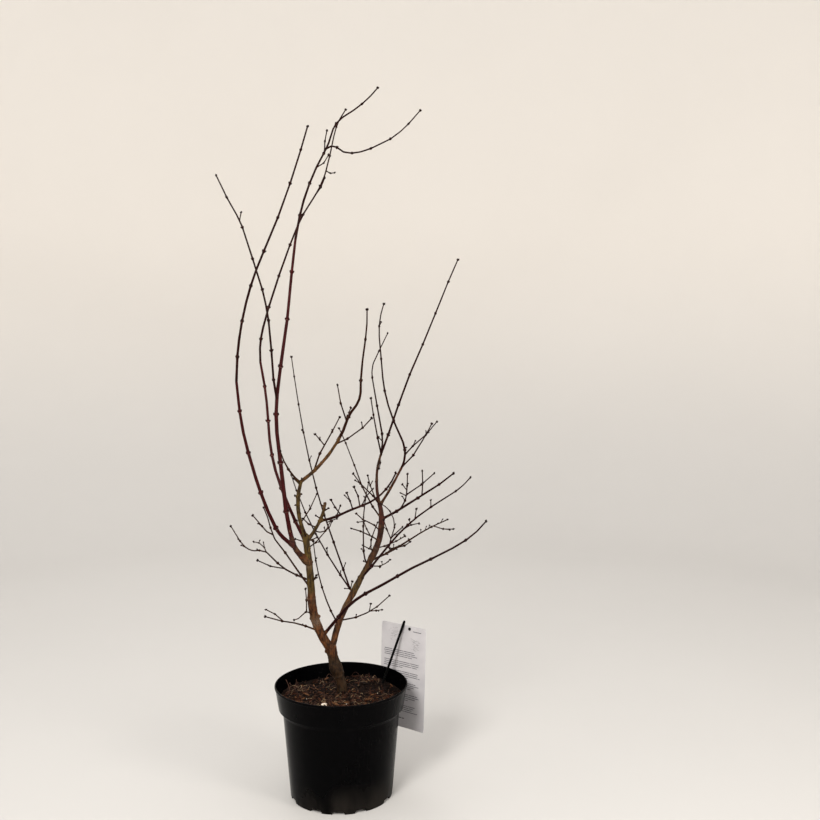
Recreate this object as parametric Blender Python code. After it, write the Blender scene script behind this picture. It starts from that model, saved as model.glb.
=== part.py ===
"""A young Japanese maple in winter, with no leaves, in a round nursery pot with a label card.

Metres, +Z up. The origin is the centre of the pot's underside and the tree's front faces -Y.
Limb lengths and thicknesses are given in millimetres and headings in degrees.
"""

import math
import random

import bmesh
import bpy
import numpy as np
from mathutils import Matrix, Vector

MM = 0.001
GAP = 0.3 * MM

# Pot
POT_HEIGHT = 205 * MM
RIM_RADIUS = 121.3 * MM
RIM_LIP = 2.5 * MM
COLLAR_FOOT_RADIUS = 114.2 * MM
COLLAR_FOOT_HEIGHT = 163 * MM
WALL_TOP_RADIUS = 106.6 * MM
WALL_TOP_HEIGHT = 151 * MM
BASE_RADIUS = 93.5 * MM
WALL_THICKNESS = 2 * MM
FLOOR_HEIGHT = 12 * MM
FLOOR_THICKNESS = 3 * MM
FOOT_PAD_RADIUS = 22 * MM
POT_EDGE = 1 * MM
RIM_BEAD = 5 * MM
SKIRT_THICKNESS = 3 * MM
NOTCH_TURNS = (-25.5, 0, 25.5)
FOOT_NOTCH = Vector((20, 20, 6)) * MM
POT_SIDES = 40

# Compost
SOIL_LEVEL = 180 * MM
SOIL_RELIEF = 3.5 * MM
SOIL_CLEARANCE = 0.8 * MM
SOIL_SIDES = 32
SOIL_RINGS = 7
FLAT_ROUND_TRUNK = 32 * MM

# Label card and its stake
CARD_WIDTH = 105 * MM
CARD_HEIGHT = 197 * MM
CARD_THICKNESS = 1 * MM
CARD_TOP = 290 * MM
CARD_CORNER = 5 * MM
CARD_AZIMUTH = math.radians(53.5)
CARD_DISTANCE = 128.7 * MM
CARD_SHIFT = 45 * MM
CARD_SWING = math.radians(2.4)
RIVET_RADIUS = 2.6 * MM
RIVET_PROUD = 1.5 * MM
RIVET_SHIFT = 58 * MM
RIVET_BELOW_TOP = 6 * MM
STAKE_RADIUS = 2.2 * MM
STAKE_FOOT = Vector((73.5, 64, 180.3)) * MM
STAKE_SHIFT = 44.5 * MM
STAKE_LEAN_SHARE = 1.05
STAKE_PAST_TOP = 6.5 * MM

# Tree
TRUNK_FOOT = Vector((1.6, 18.7, 168.3)) * MM
FLARE = 1.5 * MM
FLARE_HEIGHT = 11 * MM
FLARE_LOBES = 5
LOBE_DEPTH = 0.3
SHORTEST_INTERNODE = 30 * MM
INTERNODE_PER_THICKNESS = 8
NODE_SWELLING = 0.3
NODE_HALF_LENGTH = 3.5 * MM
COLLAR_SWELLING = 0.35
COLLAR_REACH = 3
RING_SPACING = 26 * MM
CLOSEST_RINGS = 1.5 * MM
BEND_TOLERANCE = 0.4
PATH_STEPS = 80
SIDES = ((10 * MM, 12), (7 * MM, 8), (5 * MM, 6), (3.1 * MM, 4), (0, 3))
SWOLLEN_FROM = 2.8 * MM
SPUR_CHANCE = 0.4
SPUR_LENGTH = (6 * MM, 15 * MM)
SPUR_RADIUS = 0.7 * MM
SPUR_CLEARANCE = 3 * MM
SPUR_TOP = 950 * MM
SPUR_FADE = 400 * MM
SPUR_WAY = {"forward": 0.6, "sideways": 0.7, "upward": 0.35}

COLOURS = {
    "pot": (0.012, 0.012, 0.013),
    "soil": (0.055, 0.026, 0.014),
    "card": (0.72, 0.72, 0.7),
    "stake": (0.01, 0.01, 0.01),
    "old_bark": (0.13, 0.068, 0.032),
    "olive_bark": (0.11, 0.08, 0.028),
    "red_bark": (0.075, 0.012, 0.012),
    "twig_bark": (0.07, 0.032, 0.022),
}


def clear_scene():
    for obj in list(bpy.data.objects):
        bpy.data.objects.remove(obj)


def material(name, colour, roughness):
    made = bpy.data.materials.new(name)
    made.use_nodes = True
    shader = made.node_tree.nodes["Principled BSDF"]
    shader.inputs["Base Color"].default_value = (*COLOURS[colour], 1)
    shader.inputs["Roughness"].default_value = roughness
    shader.inputs["Metallic"].default_value = 0
    return made


def object_from(name, shape):
    """A scene object from a bmesh, which is freed."""
    bmesh.ops.recalc_face_normals(shape, faces=shape.faces)
    mesh = bpy.data.meshes.new(name)
    shape.to_mesh(mesh)
    shape.free()
    obj = bpy.data.objects.new(name, mesh)
    bpy.context.scene.collection.objects.link(obj)
    return obj


def finish(obj, colour, roughness, sharp_degrees=40):
    obj.data.materials.clear()
    obj.data.materials.append(material(obj.name + "_finish", colour, roughness))
    obj.data.shade_smooth()
    obj.data.set_sharp_from_angle(angle=math.radians(sharp_degrees))


def boolean(obj, operation, operands, solver="EXACT"):
    """Joins the operands to obj, or cuts them from it, in one applied Boolean, then removes them."""
    if not operands:
        return
    group = bpy.data.collections.new(obj.name + "_operands")
    bpy.context.scene.collection.children.link(group)
    for operand in operands:
        group.objects.link(operand)
    modifier = obj.modifiers.new(operation, "BOOLEAN")
    modifier.operation = operation
    modifier.operand_type = "COLLECTION"
    modifier.collection = group
    modifier.solver = solver
    graph = bpy.context.evaluated_depsgraph_get()
    result = bpy.data.meshes.new_from_object(obj.evaluated_get(graph))
    obj.modifiers.clear()
    obj.data = result
    for operand in operands:
        bpy.data.objects.remove(operand)
    bpy.data.collections.remove(group)


def keep_largest_piece(obj):
    """Drops the loose scraps that a cut leaves."""
    shape = bmesh.new()
    shape.from_mesh(obj.data)
    left = set(shape.verts)
    pieces = []
    while left:
        piece = set()
        edge_of_piece = [next(iter(left))]
        while edge_of_piece:
            vert = edge_of_piece.pop()
            if vert in piece:
                continue
            piece.add(vert)
            edge_of_piece.extend(edge.other_vert(vert) for edge in vert.link_edges)
        left -= piece
        pieces.append(piece)
    pieces.sort(key=len)
    scraps = [vert for piece in pieces[:-1] for vert in piece]
    bmesh.ops.delete(shape, geom=scraps, context="VERTS")
    shape.to_mesh(obj.data)
    shape.free()


def turned(profile, sides, lift=None):
    """A bmesh turned round Z from (radius, height) pairs that start and end on the axis.

    lift(x, y, ring) raises a point of the surface, for relief."""
    shape = bmesh.new()
    rings = []
    for number, (radius, height) in enumerate(profile):
        ring = []
        for side in range(sides if radius > 0 else 1):
            angle = math.tau * side / sides
            x = radius * math.cos(angle)
            y = radius * math.sin(angle)
            rise = lift(x, y, number) if lift else 0
            ring.append(shape.verts.new((x, y, height + rise)))
        rings.append(ring)
    for lower, upper in zip(rings, rings[1:]):
        for side in range(sides):
            after = (side + 1) % sides
            corners = [lower[side % len(lower)], lower[after % len(lower)]]
            corners += [upper[after % len(upper)], upper[side % len(upper)]]
            shape.faces.new(list(dict.fromkeys(corners)))
    return shape


# ---- Pot, compost and label ----


def pot():
    inner_rim = RIM_RADIUS - RIM_LIP
    inner_collar = COLLAR_FOOT_RADIUS - WALL_THICKNESS
    inner_wall = WALL_TOP_RADIUS - WALL_THICKNESS
    inner_base = BASE_RADIUS - WALL_THICKNESS
    under_floor = FLOOR_HEIGHT - FLOOR_THICKNESS
    profile = [
        (0, 0),
        (FOOT_PAD_RADIUS, 0),
        (FOOT_PAD_RADIUS + 2 * POT_EDGE, under_floor),
        (BASE_RADIUS - SKIRT_THICKNESS - POT_EDGE, under_floor),
        (BASE_RADIUS - SKIRT_THICKNESS, 0),
        (BASE_RADIUS - POT_EDGE, 0),
        (BASE_RADIUS, 1.5 * POT_EDGE),
        (WALL_TOP_RADIUS, WALL_TOP_HEIGHT),
        (COLLAR_FOOT_RADIUS, COLLAR_FOOT_HEIGHT),
        (RIM_RADIUS - POT_EDGE, POT_HEIGHT - RIM_BEAD),
        (RIM_RADIUS, POT_HEIGHT - RIM_BEAD + 1.5 * POT_EDGE),
        (RIM_RADIUS, POT_HEIGHT - POT_EDGE),
        (RIM_RADIUS - POT_EDGE, POT_HEIGHT),
        (inner_rim + POT_EDGE / 2, POT_HEIGHT),
        (inner_rim, POT_HEIGHT - POT_EDGE),
        (inner_collar, COLLAR_FOOT_HEIGHT + POT_EDGE),
        (inner_wall, WALL_TOP_HEIGHT + POT_EDGE),
        (inner_base, FLOOR_HEIGHT),
        (0, FLOOR_HEIGHT),
    ]
    made = object_from("pot", turned(profile, POT_SIDES))
    notches = []
    for degrees in [90 * quarter + turn for quarter in range(4) for turn in NOTCH_TURNS]:
        turn = Matrix.Rotation(math.radians(degrees), 4, "Z")
        shape = bmesh.new()
        bmesh.ops.create_cube(shape, size=1)
        bmesh.ops.scale(shape, vec=(FOOT_NOTCH.x, FOOT_NOTCH.y, 2 * FOOT_NOTCH.z), verts=shape.verts)
        bmesh.ops.translate(shape, vec=(BASE_RADIUS, 0, -0.4 * MM), verts=shape.verts)
        bmesh.ops.transform(shape, matrix=turn, verts=shape.verts)
        notches.append(object_from("notch", shape))
    boolean(made, "DIFFERENCE", notches)
    finish(made, "pot", 0.3)


def soil():
    """Compost that fills the pot, with bark pieces raised on its top but flat round the trunk."""
    noise = random.Random(5)
    clear = WALL_THICKNESS + SOIL_CLEARANCE
    slope = (RIM_RADIUS - COLLAR_FOOT_RADIUS) / (POT_HEIGHT - COLLAR_FOOT_HEIGHT)
    top_radius = COLLAR_FOOT_RADIUS + slope * (SOIL_LEVEL - COLLAR_FOOT_HEIGHT) - clear - RIM_LIP / 4
    profile = [
        (0, FLOOR_HEIGHT + GAP),
        (BASE_RADIUS - clear, FLOOR_HEIGHT + GAP),
        (WALL_TOP_RADIUS - clear, WALL_TOP_HEIGHT + 1.5 * POT_EDGE),
        (COLLAR_FOOT_RADIUS - clear, COLLAR_FOOT_HEIGHT + 2 * POT_EDGE),
        (top_radius, SOIL_LEVEL - SOIL_RELIEF),
    ]
    top_starts = len(profile)
    for ring in range(SOIL_RINGS):
        share = 1 - (ring + 0.35) / SOIL_RINGS
        profile.append((top_radius * share, SOIL_LEVEL))
    profile.append((0, SOIL_LEVEL))

    def lift(x, y, ring):
        away = math.hypot(x - TRUNK_FOOT.x, y - TRUNK_FOOT.y)
        from_stake = math.hypot(x - STAKE_FOOT.x, y - STAKE_FOOT.y)
        relief = noise.uniform(-0.8, 0) * SOIL_RELIEF
        if ring < top_starts:
            return 0
        if away < FLAT_ROUND_TRUNK or from_stake < FLAT_ROUND_TRUNK / 2:
            return 0
        return relief

    finish(object_from("soil", turned(profile, SOIL_SIDES, lift)), "soil", 0.95)


def card_outline():
    """The card's outline, wide along X and high along Z, with round corners."""
    points = []
    for corner in range(4):
        across = 1 if corner in (0, 3) else -1
        up = 1 if corner in (0, 1) else -1
        centre = Vector((across * (CARD_WIDTH / 2 - CARD_CORNER), 0, up * (CARD_HEIGHT / 2 - CARD_CORNER)))
        for step in range(4):
            angle = math.radians(90 * corner + 30 * step)
            points.append(centre + CARD_CORNER * Vector((math.cos(angle), 0, math.sin(angle))))
    return points


def beside_card(shift, inwards, up):
    """A point in the card's own terms: along its width from the pot's radius, inwards from its inner
    face, and up from the rim's height, where the card swings under the rim by CARD_SWING."""
    outward = Vector((math.cos(CARD_AZIMUTH), math.sin(CARD_AZIMUTH), 0))
    along = Vector((outward.y, -outward.x, 0))
    lean = Matrix.Rotation(-CARD_SWING, 3, along)
    at_rim = outward * CARD_DISTANCE + Vector((0, 0, POT_HEIGHT))
    return at_rim + along * shift + lean @ (Vector((0, 0, up - POT_HEIGHT)) - outward * inwards)


def label_card():
    """A bare card, square to the pot's radius outside the rim, with a round rivet near its top."""
    shape = bmesh.new()
    face = shape.faces.new([shape.verts.new(point) for point in card_outline()])
    extruded = bmesh.ops.extrude_face_region(shape, geom=[face])
    back = [item for item in extruded["geom"] if isinstance(item, bmesh.types.BMVert)]
    bmesh.ops.translate(shape, vec=(0, CARD_THICKNESS, 0), verts=back)
    middle = Matrix.Translation(beside_card(CARD_SHIFT, 0, CARD_TOP - CARD_HEIGHT / 2))
    turn = Matrix.Rotation(CARD_AZIMUTH - math.pi / 2, 4, "Z")
    swing = Matrix.Rotation(-CARD_SWING, 4, "X")
    bmesh.ops.transform(shape, matrix=middle @ turn @ swing, verts=shape.verts)
    card = object_from("label_card", shape)
    rivet_height = CARD_TOP - RIVET_BELOW_TOP
    front = beside_card(RIVET_SHIFT, RIVET_PROUD, rivet_height)
    inside = beside_card(RIVET_SHIFT, -CARD_THICKNESS / 2, rivet_height)
    rivet = solid_tube("rivet", [front, inside], [RIVET_RADIUS, RIVET_RADIUS], 12)
    boolean(card, "UNION", [rivet])
    finish(card, "card", 0.45)


def label_stake():
    """A thin rod that leans out from the compost and rests on the card's top edge."""
    edge = beside_card(STAKE_SHIFT, STAKE_LEAN_SHARE * STAKE_RADIUS + GAP, CARD_TOP)
    tip = edge + (edge - STAKE_FOOT).normalized() * STAKE_PAST_TOP
    rod = solid_tube("label_stake", [STAKE_FOOT, tip], [STAKE_RADIUS, STAKE_RADIUS], 10)
    below = bmesh.new()
    size = 10 * STAKE_RADIUS
    bmesh.ops.create_cube(below, size=size)
    bmesh.ops.translate(below, vec=STAKE_FOOT - Vector((0, 0, size / 2)), verts=below.verts)
    boolean(rod, "DIFFERENCE", [object_from("below_soil", below)])
    finish(rod, "stake", 0.4)


# ---- Limbs ----


class Limb:
    """A tapering limb whose path follows headings spread evenly from its foot to its tip.

    leans are degrees right of upright, seen from the front, and backs are degrees away from it."""

    def __init__(self, name, start, length, foot, tip, leans, backs, leaves_side):
        self.name = name
        self.length = length
        self.foot = foot
        self.tip = tip
        self.leaves_side = leaves_side
        middles = (np.arange(PATH_STEPS) + 0.5) / PATH_STEPS
        lean = np.radians(np.interp(middles, np.linspace(0, 1, len(leans)), leans))
        back = np.radians(np.interp(middles, np.linspace(0, 1, len(backs)), backs))
        across = np.sin(lean) * np.cos(back)
        up = np.cos(lean) * np.cos(back)
        steps = np.stack([across, np.sin(back), up], axis=1) * length / PATH_STEPS
        self.path = np.array(start) + np.vstack([np.zeros(3), np.cumsum(steps, axis=0)])

    def at(self, share):
        along = np.linspace(0, 1, PATH_STEPS + 1)
        return Vector([np.interp(share, along, self.path[:, axis]) for axis in range(3)])

    def heading(self, share):
        return (self.at(min(share + 0.02, 1)) - self.at(max(share - 0.02, 0))).normalized()

    def nodes(self):
        """Shares of the length at which a pair of buds swells the limb: further apart on a thick limb."""
        count = round(self.length / (SHORTEST_INTERNODE + INTERNODE_PER_THICKNESS * 2 * self.foot))
        return [(number + 0.7) / (count + 0.4) for number in range(count)]

    def radius(self, share):
        """Half the thickness: an even taper, with a collar where the limb leaves another's side."""
        plain = self.foot + (self.tip - self.foot) * share
        if not self.leaves_side:
            return plain
        reach = share * self.length / (COLLAR_REACH * self.foot)
        return plain * (1 + COLLAR_SWELLING * math.exp(-reach * reach))

    def rings(self):
        """(share, radius) of each ring of the solid."""
        count = max(2, round(self.length / RING_SPACING))
        made = [(number / count, 0) for number in range(count + 1)]
        if 2 * self.foot > SWOLLEN_FROM and self.length > 3 * SHORTEST_INTERNODE:
            half = NODE_HALF_LENGTH / self.length
            made = [(0, 0), (1, 0)]
            for share in self.nodes():
                made += [(share - half, 0), (share, NODE_SWELLING), (share + half, 0)]
        if self.leaves_side:
            made.append((min(COLLAR_REACH * self.foot / self.length, 0.5), 0))
        made.sort()
        spaced = [made[0]]
        for share, swelling in made[1:]:
            if share - spaced[-1][0] > CLOSEST_RINGS / self.length:
                spaced += [(between, 0) for between in self.bend_shares(spaced[-1][0], share)]
                spaced.append((share, swelling))
        return [(share, self.radius(share) * (1 + swelling)) for share, swelling in spaced]

    def bend_shares(self, start, end):
        """Shares between two rings where a sharp bend needs more, so that the solid follows its path."""
        middle = (start + end) / 2
        chord_middle = (self.at(start) + self.at(end)) / 2
        if (self.at(middle) - chord_middle).length < BEND_TOLERANCE * self.tip:
            return []
        return self.bend_shares(start, middle) + [middle] + self.bend_shares(middle, end)

    def sides(self):
        """A thicker limb is rounder: the sides of the first size that its foot reaches."""
        return next(sides for thickness, sides in SIDES if 2 * self.foot >= thickness)


class Trunk(Limb):
    """The trunk swells half-way up, over a graft, and has closer rings near its foot and its round top."""

    def rings(self):
        shares = [0, 0.1, 0.15, 0.21, 0.28, 0.4, 0.46, 0.52, 0.58, 0.67, 0.76, 0.84, 0.91, 0.97, 1]
        bulges = [1, 1, 1, 1, 0.98, 0.94, 1.03, 1.24, 1.33, 1.21, 1.04, 0.92, 1, 0.9, 0.6]
        return [(share, self.radius(share) * bulge) for share, bulge in zip(shares, bulges)]

    def sides(self):
        return 20


LIMBS = {}
NODES = {}


def solid_tube(name, points, radii, sides, grown=0):
    """A closed tube through points. grown adds to its faces' distance from the axis and to its ends."""
    points = [Vector(point) for point in points]
    tangents = [(points[1] - points[0]).normalized()]
    for before, after in zip(points, points[2:]):
        tangents.append((after - before).normalized())
    tangents.append((points[-1] - points[-2]).normalized())
    points[0] = points[0] - tangents[0] * grown
    points[-1] = points[-1] + tangents[-1] * grown
    side_way = tangents[0].cross(Vector((0, 1, 0.1))).normalized()
    shape = bmesh.new()
    rings = []
    for number, (point, radius) in enumerate(zip(points, radii)):
        tangent = tangents[number]
        side_way = (side_way - tangent * side_way.dot(tangent)).normalized()
        other_way = tangent.cross(side_way)
        wide = radius + grown / math.cos(math.pi / sides)
        ring = []
        for side in range(sides):
            angle = math.tau * side / sides
            around = side_way * math.cos(angle) + other_way * math.sin(angle)
            ring.append(shape.verts.new(point + around * wide))
        rings.append(ring)
    for lower, upper in zip(rings, rings[1:]):
        for side in range(sides):
            after = (side + 1) % sides
            shape.faces.new([lower[side], lower[after], upper[after], upper[side]])
    shape.faces.new(rings[0])
    shape.faces.new(rings[-1])
    return object_from(name, shape)


def limb_tube(limb, grown=0):
    rings = limb.rings()
    points = [limb.at(share) for share, _ in rings]
    return solid_tube(limb.name, points, [radius for _, radius in rings], limb.sides(), grown)


def clearance(one, other, skip=0):
    """How far apart two limbs' surfaces are, leaving out the first part of one up to the share skip."""
    first = one.path[int(skip * PATH_STEPS):]
    between = np.linalg.norm(first[:, None, :] - other.path[None, :, :], axis=2)
    row, column = np.unravel_index(between.argmin(), between.shape)
    share = skip + (1 - skip) * row / max(1, len(first) - 1)
    thick = one.radius(share) + other.radius(column / PATH_STEPS)
    return between.min() - thick * (1 + NODE_SWELLING / 2)


def add_limb(node, name, on, at, length, foot, tip, leans, backs):
    start = LIMBS[on].at(at) if on else TRUNK_FOOT
    leaves_side = on is not None and at < 1
    kind = Trunk if name == "trunk" else Limb
    made = kind(name, start, length * MM, foot / 2 * MM, tip / 2 * MM, leans, backs, leaves_side)
    LIMBS[name] = made
    NODES.setdefault(node, []).append(made)


def bough(name, on, at, length, foot, tip, leans, backs):
    """A limb that is a node by itself: millimetres long, thick at its foot and at its tip."""
    add_limb(name, name, on, at, length, foot, tip, leans, backs)


def spray(name, on, at, length, foot, tip, leans, backs):
    """The stem of a mass of twigs. Twigs that grow on it are fused to it."""
    add_limb(name, name, on, at, length, foot, tip, leans, backs)


def twig(name, on, at, length, foot, tip, leans, backs):
    """A twig that is fused into the mass of the limb it grows on."""
    node = next(node for node, limbs in NODES.items() if LIMBS[on] in limbs)
    add_limb(node, name, on, at, length, foot, tip, leans, backs)


def trunk_and_stems():
    bough("trunk", None, 0, 102, 17, 20, (-5, -5, -16, -20, -10, -8), (-3, -6, -9))
    bough("left_stem", "trunk", 0.95, 234, 17.4, 11.4, (-34, -1, -7), (-17, -12, -5))
    bough("right_stem", "trunk", 0.93, 290, 12.4, 7.6, (8, 29, 28, -14), (9, 12, 2))


def left_whips():
    bough("whip_base", "left_stem", 0.79, 50, 11.6, 9.2, (-49, -20), (-27,))
    bough("red_leader", "whip_base", 1, 550, 7.6, 4.2, (-15, -6, -8, 6, 8, 4, 7), (3, 10, 7))
    outer_leans = (-53, -21, -16, -14, -11, -4, -1)
    bough("outer_whip_low", "whip_base", 0.98, 329, 6.4, 4, outer_leans, (-33, -13, -18))
    bough("outer_whip_high", "outer_whip_low", 1, 435, 4, 2.2, (3, 13, 24, 18, 14), (-13, 4, 13))
    bough("inner_whip_low", "left_stem", 0.93, 359, 5.6, 4, (-29, -24, -5, -12), (12, 27, 4))
    cross_leans = (-8, 0, -1, -8, -16, -13, -29, -20)
    spray("cross_whip", "red_leader", 0.47, 406, 3.8, 1.8, cross_leans, (-22, -18, -23))
    twig("cross_whip_spur", "cross_whip", 0.8, 17, 1.6, 1.4, (16, -5), (31,))


def top():
    spray("top_spray", "red_leader", 1, 341, 4.2, 2.2, (8, 11, 17, 22, 28, 12, 57, 48, 36), (11, 15, 13))
    twig("top_arc", "top_spray", 0.53, 245, 3, 1.6, (55, 141, 101, 82, 75, 63, 50, 44), (-44, -39, -30))
    twig("top_left", "top_spray", 0.51, 38, 2, 1.6, (-1, 18), (-16,))
    twig("top_right", "top_spray", 0.41, 37, 1.8, 1.4, (80, 23), (-31,))
    spray("inner_spray", "inner_whip_low", 1, 516, 4, 1.8, (-6, 14, 18, 20, 23, 35, 13, 9, 33), (9, -2, 25))
    twig("inner_side", "inner_spray", 0.74, 23, 1.8, 1.4, (133, 52), (46,))
    twig("inner_twin", "inner_spray", 0.64, 41, 2, 1.6, (49, 20), (-29,))


def olive_boughs():
    bough("olive_bough", "left_stem", 1, 105, 7.4, 6.4, (-23, 17), (-14, -9))
    bough("bow_bough", "olive_bough", 1, 101, 6.4, 5, (54, 30), (-9, -12))
    spray("bow_spray", "bow_bough", 1, 240, 5, 1.8, (34, 17, 41, 0, 6, 9, 6, -2), (-20, -11, -1))
    twig("bow_left", "bow_spray", 0.17, 69, 2.4, 1.4, (-20, -4), (-22, -21))
    twig("bow_short", "bow_spray", 0.2, 23, 1.8, 1.4, (5, 21), (46,))
    spray("bow_right_spray", "bow_bough", 0.93, 91, 2.4, 1.6, (68, 38), (-29, -26))
    spray("bow_side_spray", "bow_bough", 0.3, 112, 2.8, 1.6, (12, 32, 24), (18, 35))
    twig("bow_side_left", "bow_side_spray", 0.45, 25, 1.8, 1.4, (-39, -43), (12,))
    spray("elbow_spray", "olive_bough", 0.97, 75, 3.8, 1.6, (-43, -13), (-36, -13))
    spray("olive_twig", "olive_bough", 0.25, 63, 2, 1.4, (38, 19), (29, 37))


def stub_and_level_arm():
    bough("stub_bough", "left_stem", 0.96, 87, 6.6, 5, (42, 11), (-16, -23))
    spray("mid_spray", "stub_bough", 0.57, 170, 4.6, 2.4, (79, 62, 71, 46, 23), (-27, 31))
    twig("mid_first", "mid_spray", 0.25, 38, 2, 1.6, (-34, -21), (-31,))
    twig("mid_short", "mid_spray", 0.2, 20, 1.6, 1.4, (21, 18), (23,))
    twig("mid_second", "mid_spray", 0.39, 37, 2, 1.6, (-11, -21), (-28,))
    twig("mid_third", "mid_spray", 0.47, 38, 2, 1.6, (-4, -34), (27,))
    twig("mid_fourth", "mid_spray", 0.49, 48, 1.8, 1.4, (17, 46), (-34,))
    spray("curl_left", "stub_bough", 0.39, 41, 2.2, 1.6, (-65, -23), (-44,))
    spray("curl_right", "stub_bough", 0.3, 67, 2, 1.4, (102, 9), (-51, -37))
    spray("crotch_twig", "left_stem", 0.9, 81, 2, 1.4, (69, 20), (53, 41))


def rear_and_centre():
    spray("rear_spray", "right_stem", 0.4, 15, 4.6, 3.2, (-57, -84), (53,))
    twig("rear_long", "rear_spray", 0.9, 453, 3, 1.4, (-21, -21, -14, -10, -8), (18, 6, 6))
    twig("rear_short", "rear_spray", 0.9, 244, 2.8, 1.4, (-40, -27, -15), (24, -2, -11))
    spray("centre_whip", "right_stem", 0.17, 172, 2.6, 1.4, (-24, -6), (-27, 10))
    bough("low_reach", "left_stem", 0.15, 399, 5.8, 2.2, (38, 38, 59, 54, 61, 56, 35), (-14, -23, -17))
    spray("low_right_spray", "right_stem", 0.2, 122, 2.6, 1.6, (97, 49), (36, 39))
    twig("low_right_up", "low_right_spray", 0.55, 18, 1.6, 1.4, (7, 11), (-21,))
    twig("low_right_out", "low_right_spray", 0.56, 23, 1.6, 1.4, (87, 84), (10,))


def right_top():
    bough("right_leader", "right_stem", 1, 91, 6.4, 4.4, (-15, 17), (5, 8))
    spray("right_top_spray", "right_leader", 1, 392, 3.8, 1.8, (21, 18, 24, 21, 24), (-11, -12, -14))
    twig("right_fan_bow", "right_top_spray", 0.01, 237, 3.2, 1.4, (12, -12, -9, -11, 30, 23), (13, 7, 14))
    twig("right_fan_left", "right_top_spray", 0.01, 111, 2.8, 1.6, (-12, -7), (-16, -15))
    twig("right_fan_spur", "right_fan_bow", 0.1, 14, 1.6, 1.4, (-40, -39), (-34,))
    bough("fork_bough", "right_stem", 0.99, 82, 5.4, 4.2, (32, 26), (-22, -9))
    spray("fork_spray", "fork_bough", 1, 316, 3.8, 1.6, (31, -26, -17, -4, -5, 20), (-12, -9, -9))
    twig("fork_inner", "fork_spray", 0.1, 83, 2.4, 1.6, (35, 53, 16), (-25, -17))
    twig("fork_outer", "fork_spray", 0.02, 114, 2.8, 1.6, (53, 29, 46), (30, 17))


def right_arms():
    spray("level_spray", "right_stem", 0.9, 170, 4.6, 2.4, (61, 54, 56, 47), (-20, -17))
    twig("level_riser", "level_spray", 0.26, 78, 2.6, 1.6, (35, 5, 0), (-36, -10))
    twig("level_second", "level_riser", 0.47, 72, 2.4, 1.6, (63, 49), (25, 35))
    twig("level_spur_low", "level_riser", 0.44, 16, 1.8, 1.4, (-50, -64), (-41,))
    twig("level_spur_high", "level_riser", 0.59, 18, 1.6, 1.4, (-34, -32), (-35,))
    twig("level_end_riser", "level_spray", 0.56, 48, 2.2, 1.6, (6, -5), (-16,))
    spray("reach_spray", "right_stem", 0.49, 314, 4.2, 1.6, (38, 36, 36, 45, 52, 55, 34), (-30, -18, -29))
    twig("reach_riser", "reach_spray", 0.56, 19, 1.8, 1.4, (15, 1), (-11,))
    twig("reach_back", "reach_spray", 0.46, 51, 1.8, 1.4, (62, 104), (54,))
    twig("reach_twin", "reach_spray", 0.33, 52, 2, 1.6, (-4, 66, 45), (48,))
    twig("reach_hook", "reach_twin", 0.26, 76, 1.8, 1.4, (34, -67), (32, 6))
    twig("reach_inner", "reach_twin", 0.24, 37, 1.8, 1.4, (-24, -16), (-4,))
    spray("brush_spray", "right_stem", 0.62, 195, 3.8, 1.8, (77, 62, 74), (39, 31))
    twig("brush_end", "brush_spray", 0.82, 42, 1.8, 1.4, (119, 85), (15,))
    twig("brush_low", "brush_spray", 0.35, 32, 2, 1.6, (83, 36), (-30,))
    twig("brush_high", "brush_spray", 0.19, 42, 1.8, 1.6, (48, 92), (49,))
    spray("brush_upper", "right_stem", 0.71, 75, 2, 1.6, (92, 62), (51, 33))
    spray("low_tuft", "right_stem", 0.61, 70, 2.2, 1.4, (159, 85, 59), (39, 62))


def right_inner_twigs():
    spray("inner_upper_spray", "right_stem", 0.82, 76, 2.4, 1.6, (-41, -81, -48), (44, 42))
    twig("inner_upper_side", "inner_upper_spray", 0.6, 19, 1.6, 1.4, (-108, -99), (30,))
    spray("inner_lower_spray", "right_stem", 0.76, 83, 2.4, 1.6, (-42, -66), (-48, -41))
    twig("inner_lower_side", "inner_lower_spray", 0.36, 33, 1.8, 1.4, (-29, -16), (-24,))
    spray("inner_riser", "right_stem", 0.67, 71, 2.4, 1.6, (-57, 18, 23), (67, -11))
    spray("inner_small", "right_stem", 0.69, 45, 2, 1.4, (-54, -43), (-53,))
    spray("rear_riser", "right_stem", 0.59, 171, 2.8, 1.4, (-47, -3, -3, 3, 8, 14), (56, -13))
    spray("cross_riser", "right_stem", 0.9, 198, 2.8, 1.4, (-43, -20, -25), (33, 5))
    spray("pair_front", "right_stem", 0.99, 104, 2.6, 1.6, (-24, -44, -24), (-38, -37))
    spray("pair_back", "right_stem", 0.98, 75, 2, 1.6, (-39, -13), (45, 31))


def left_low_sprays():
    spray("left_low_spray", "left_stem", 0.57, 189, 3.4, 1.6, (-31, -26, -29, -36, -8, -24), (-31, -9))
    twig("left_low_side", "left_low_spray", 0.72, 59, 2.2, 1.6, (-80, -38, -60), (33,))
    mid_leans = (-89, -76, -74, -57, -50, -109, -63, -31, -47)
    spray("left_mid_spray", "left_stem", 0.64, 230, 3.2, 1.6, mid_leans, (42, 33, 26))
    twig("left_mid_low", "left_mid_spray", 0.3, 60, 2, 1.6, (-79, -47), (-30, -35))
    twig("left_mid_back", "left_mid_spray", 0.54, 70, 1.8, 1.4, (-44, -105), (71, 49))
    spray("left_hook_spray", "left_stem", 0.33, 71, 2.4, 1.4, (-36, -24, -146, -69), (-49, -57))
    twig("left_hook_riser", "left_hook_spray", 0.47, 47, 2, 1.4, (3, -3), (-17,))
    spray("left_foot_spray", "left_stem", 0.2, 121, 3, 1.6, (-54, -59, -74, -57), (-38, -29))
    twig("left_foot_side", "left_foot_spray", 0.69, 45, 1.8, 1.6, (-53, -82), (34,))


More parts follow.
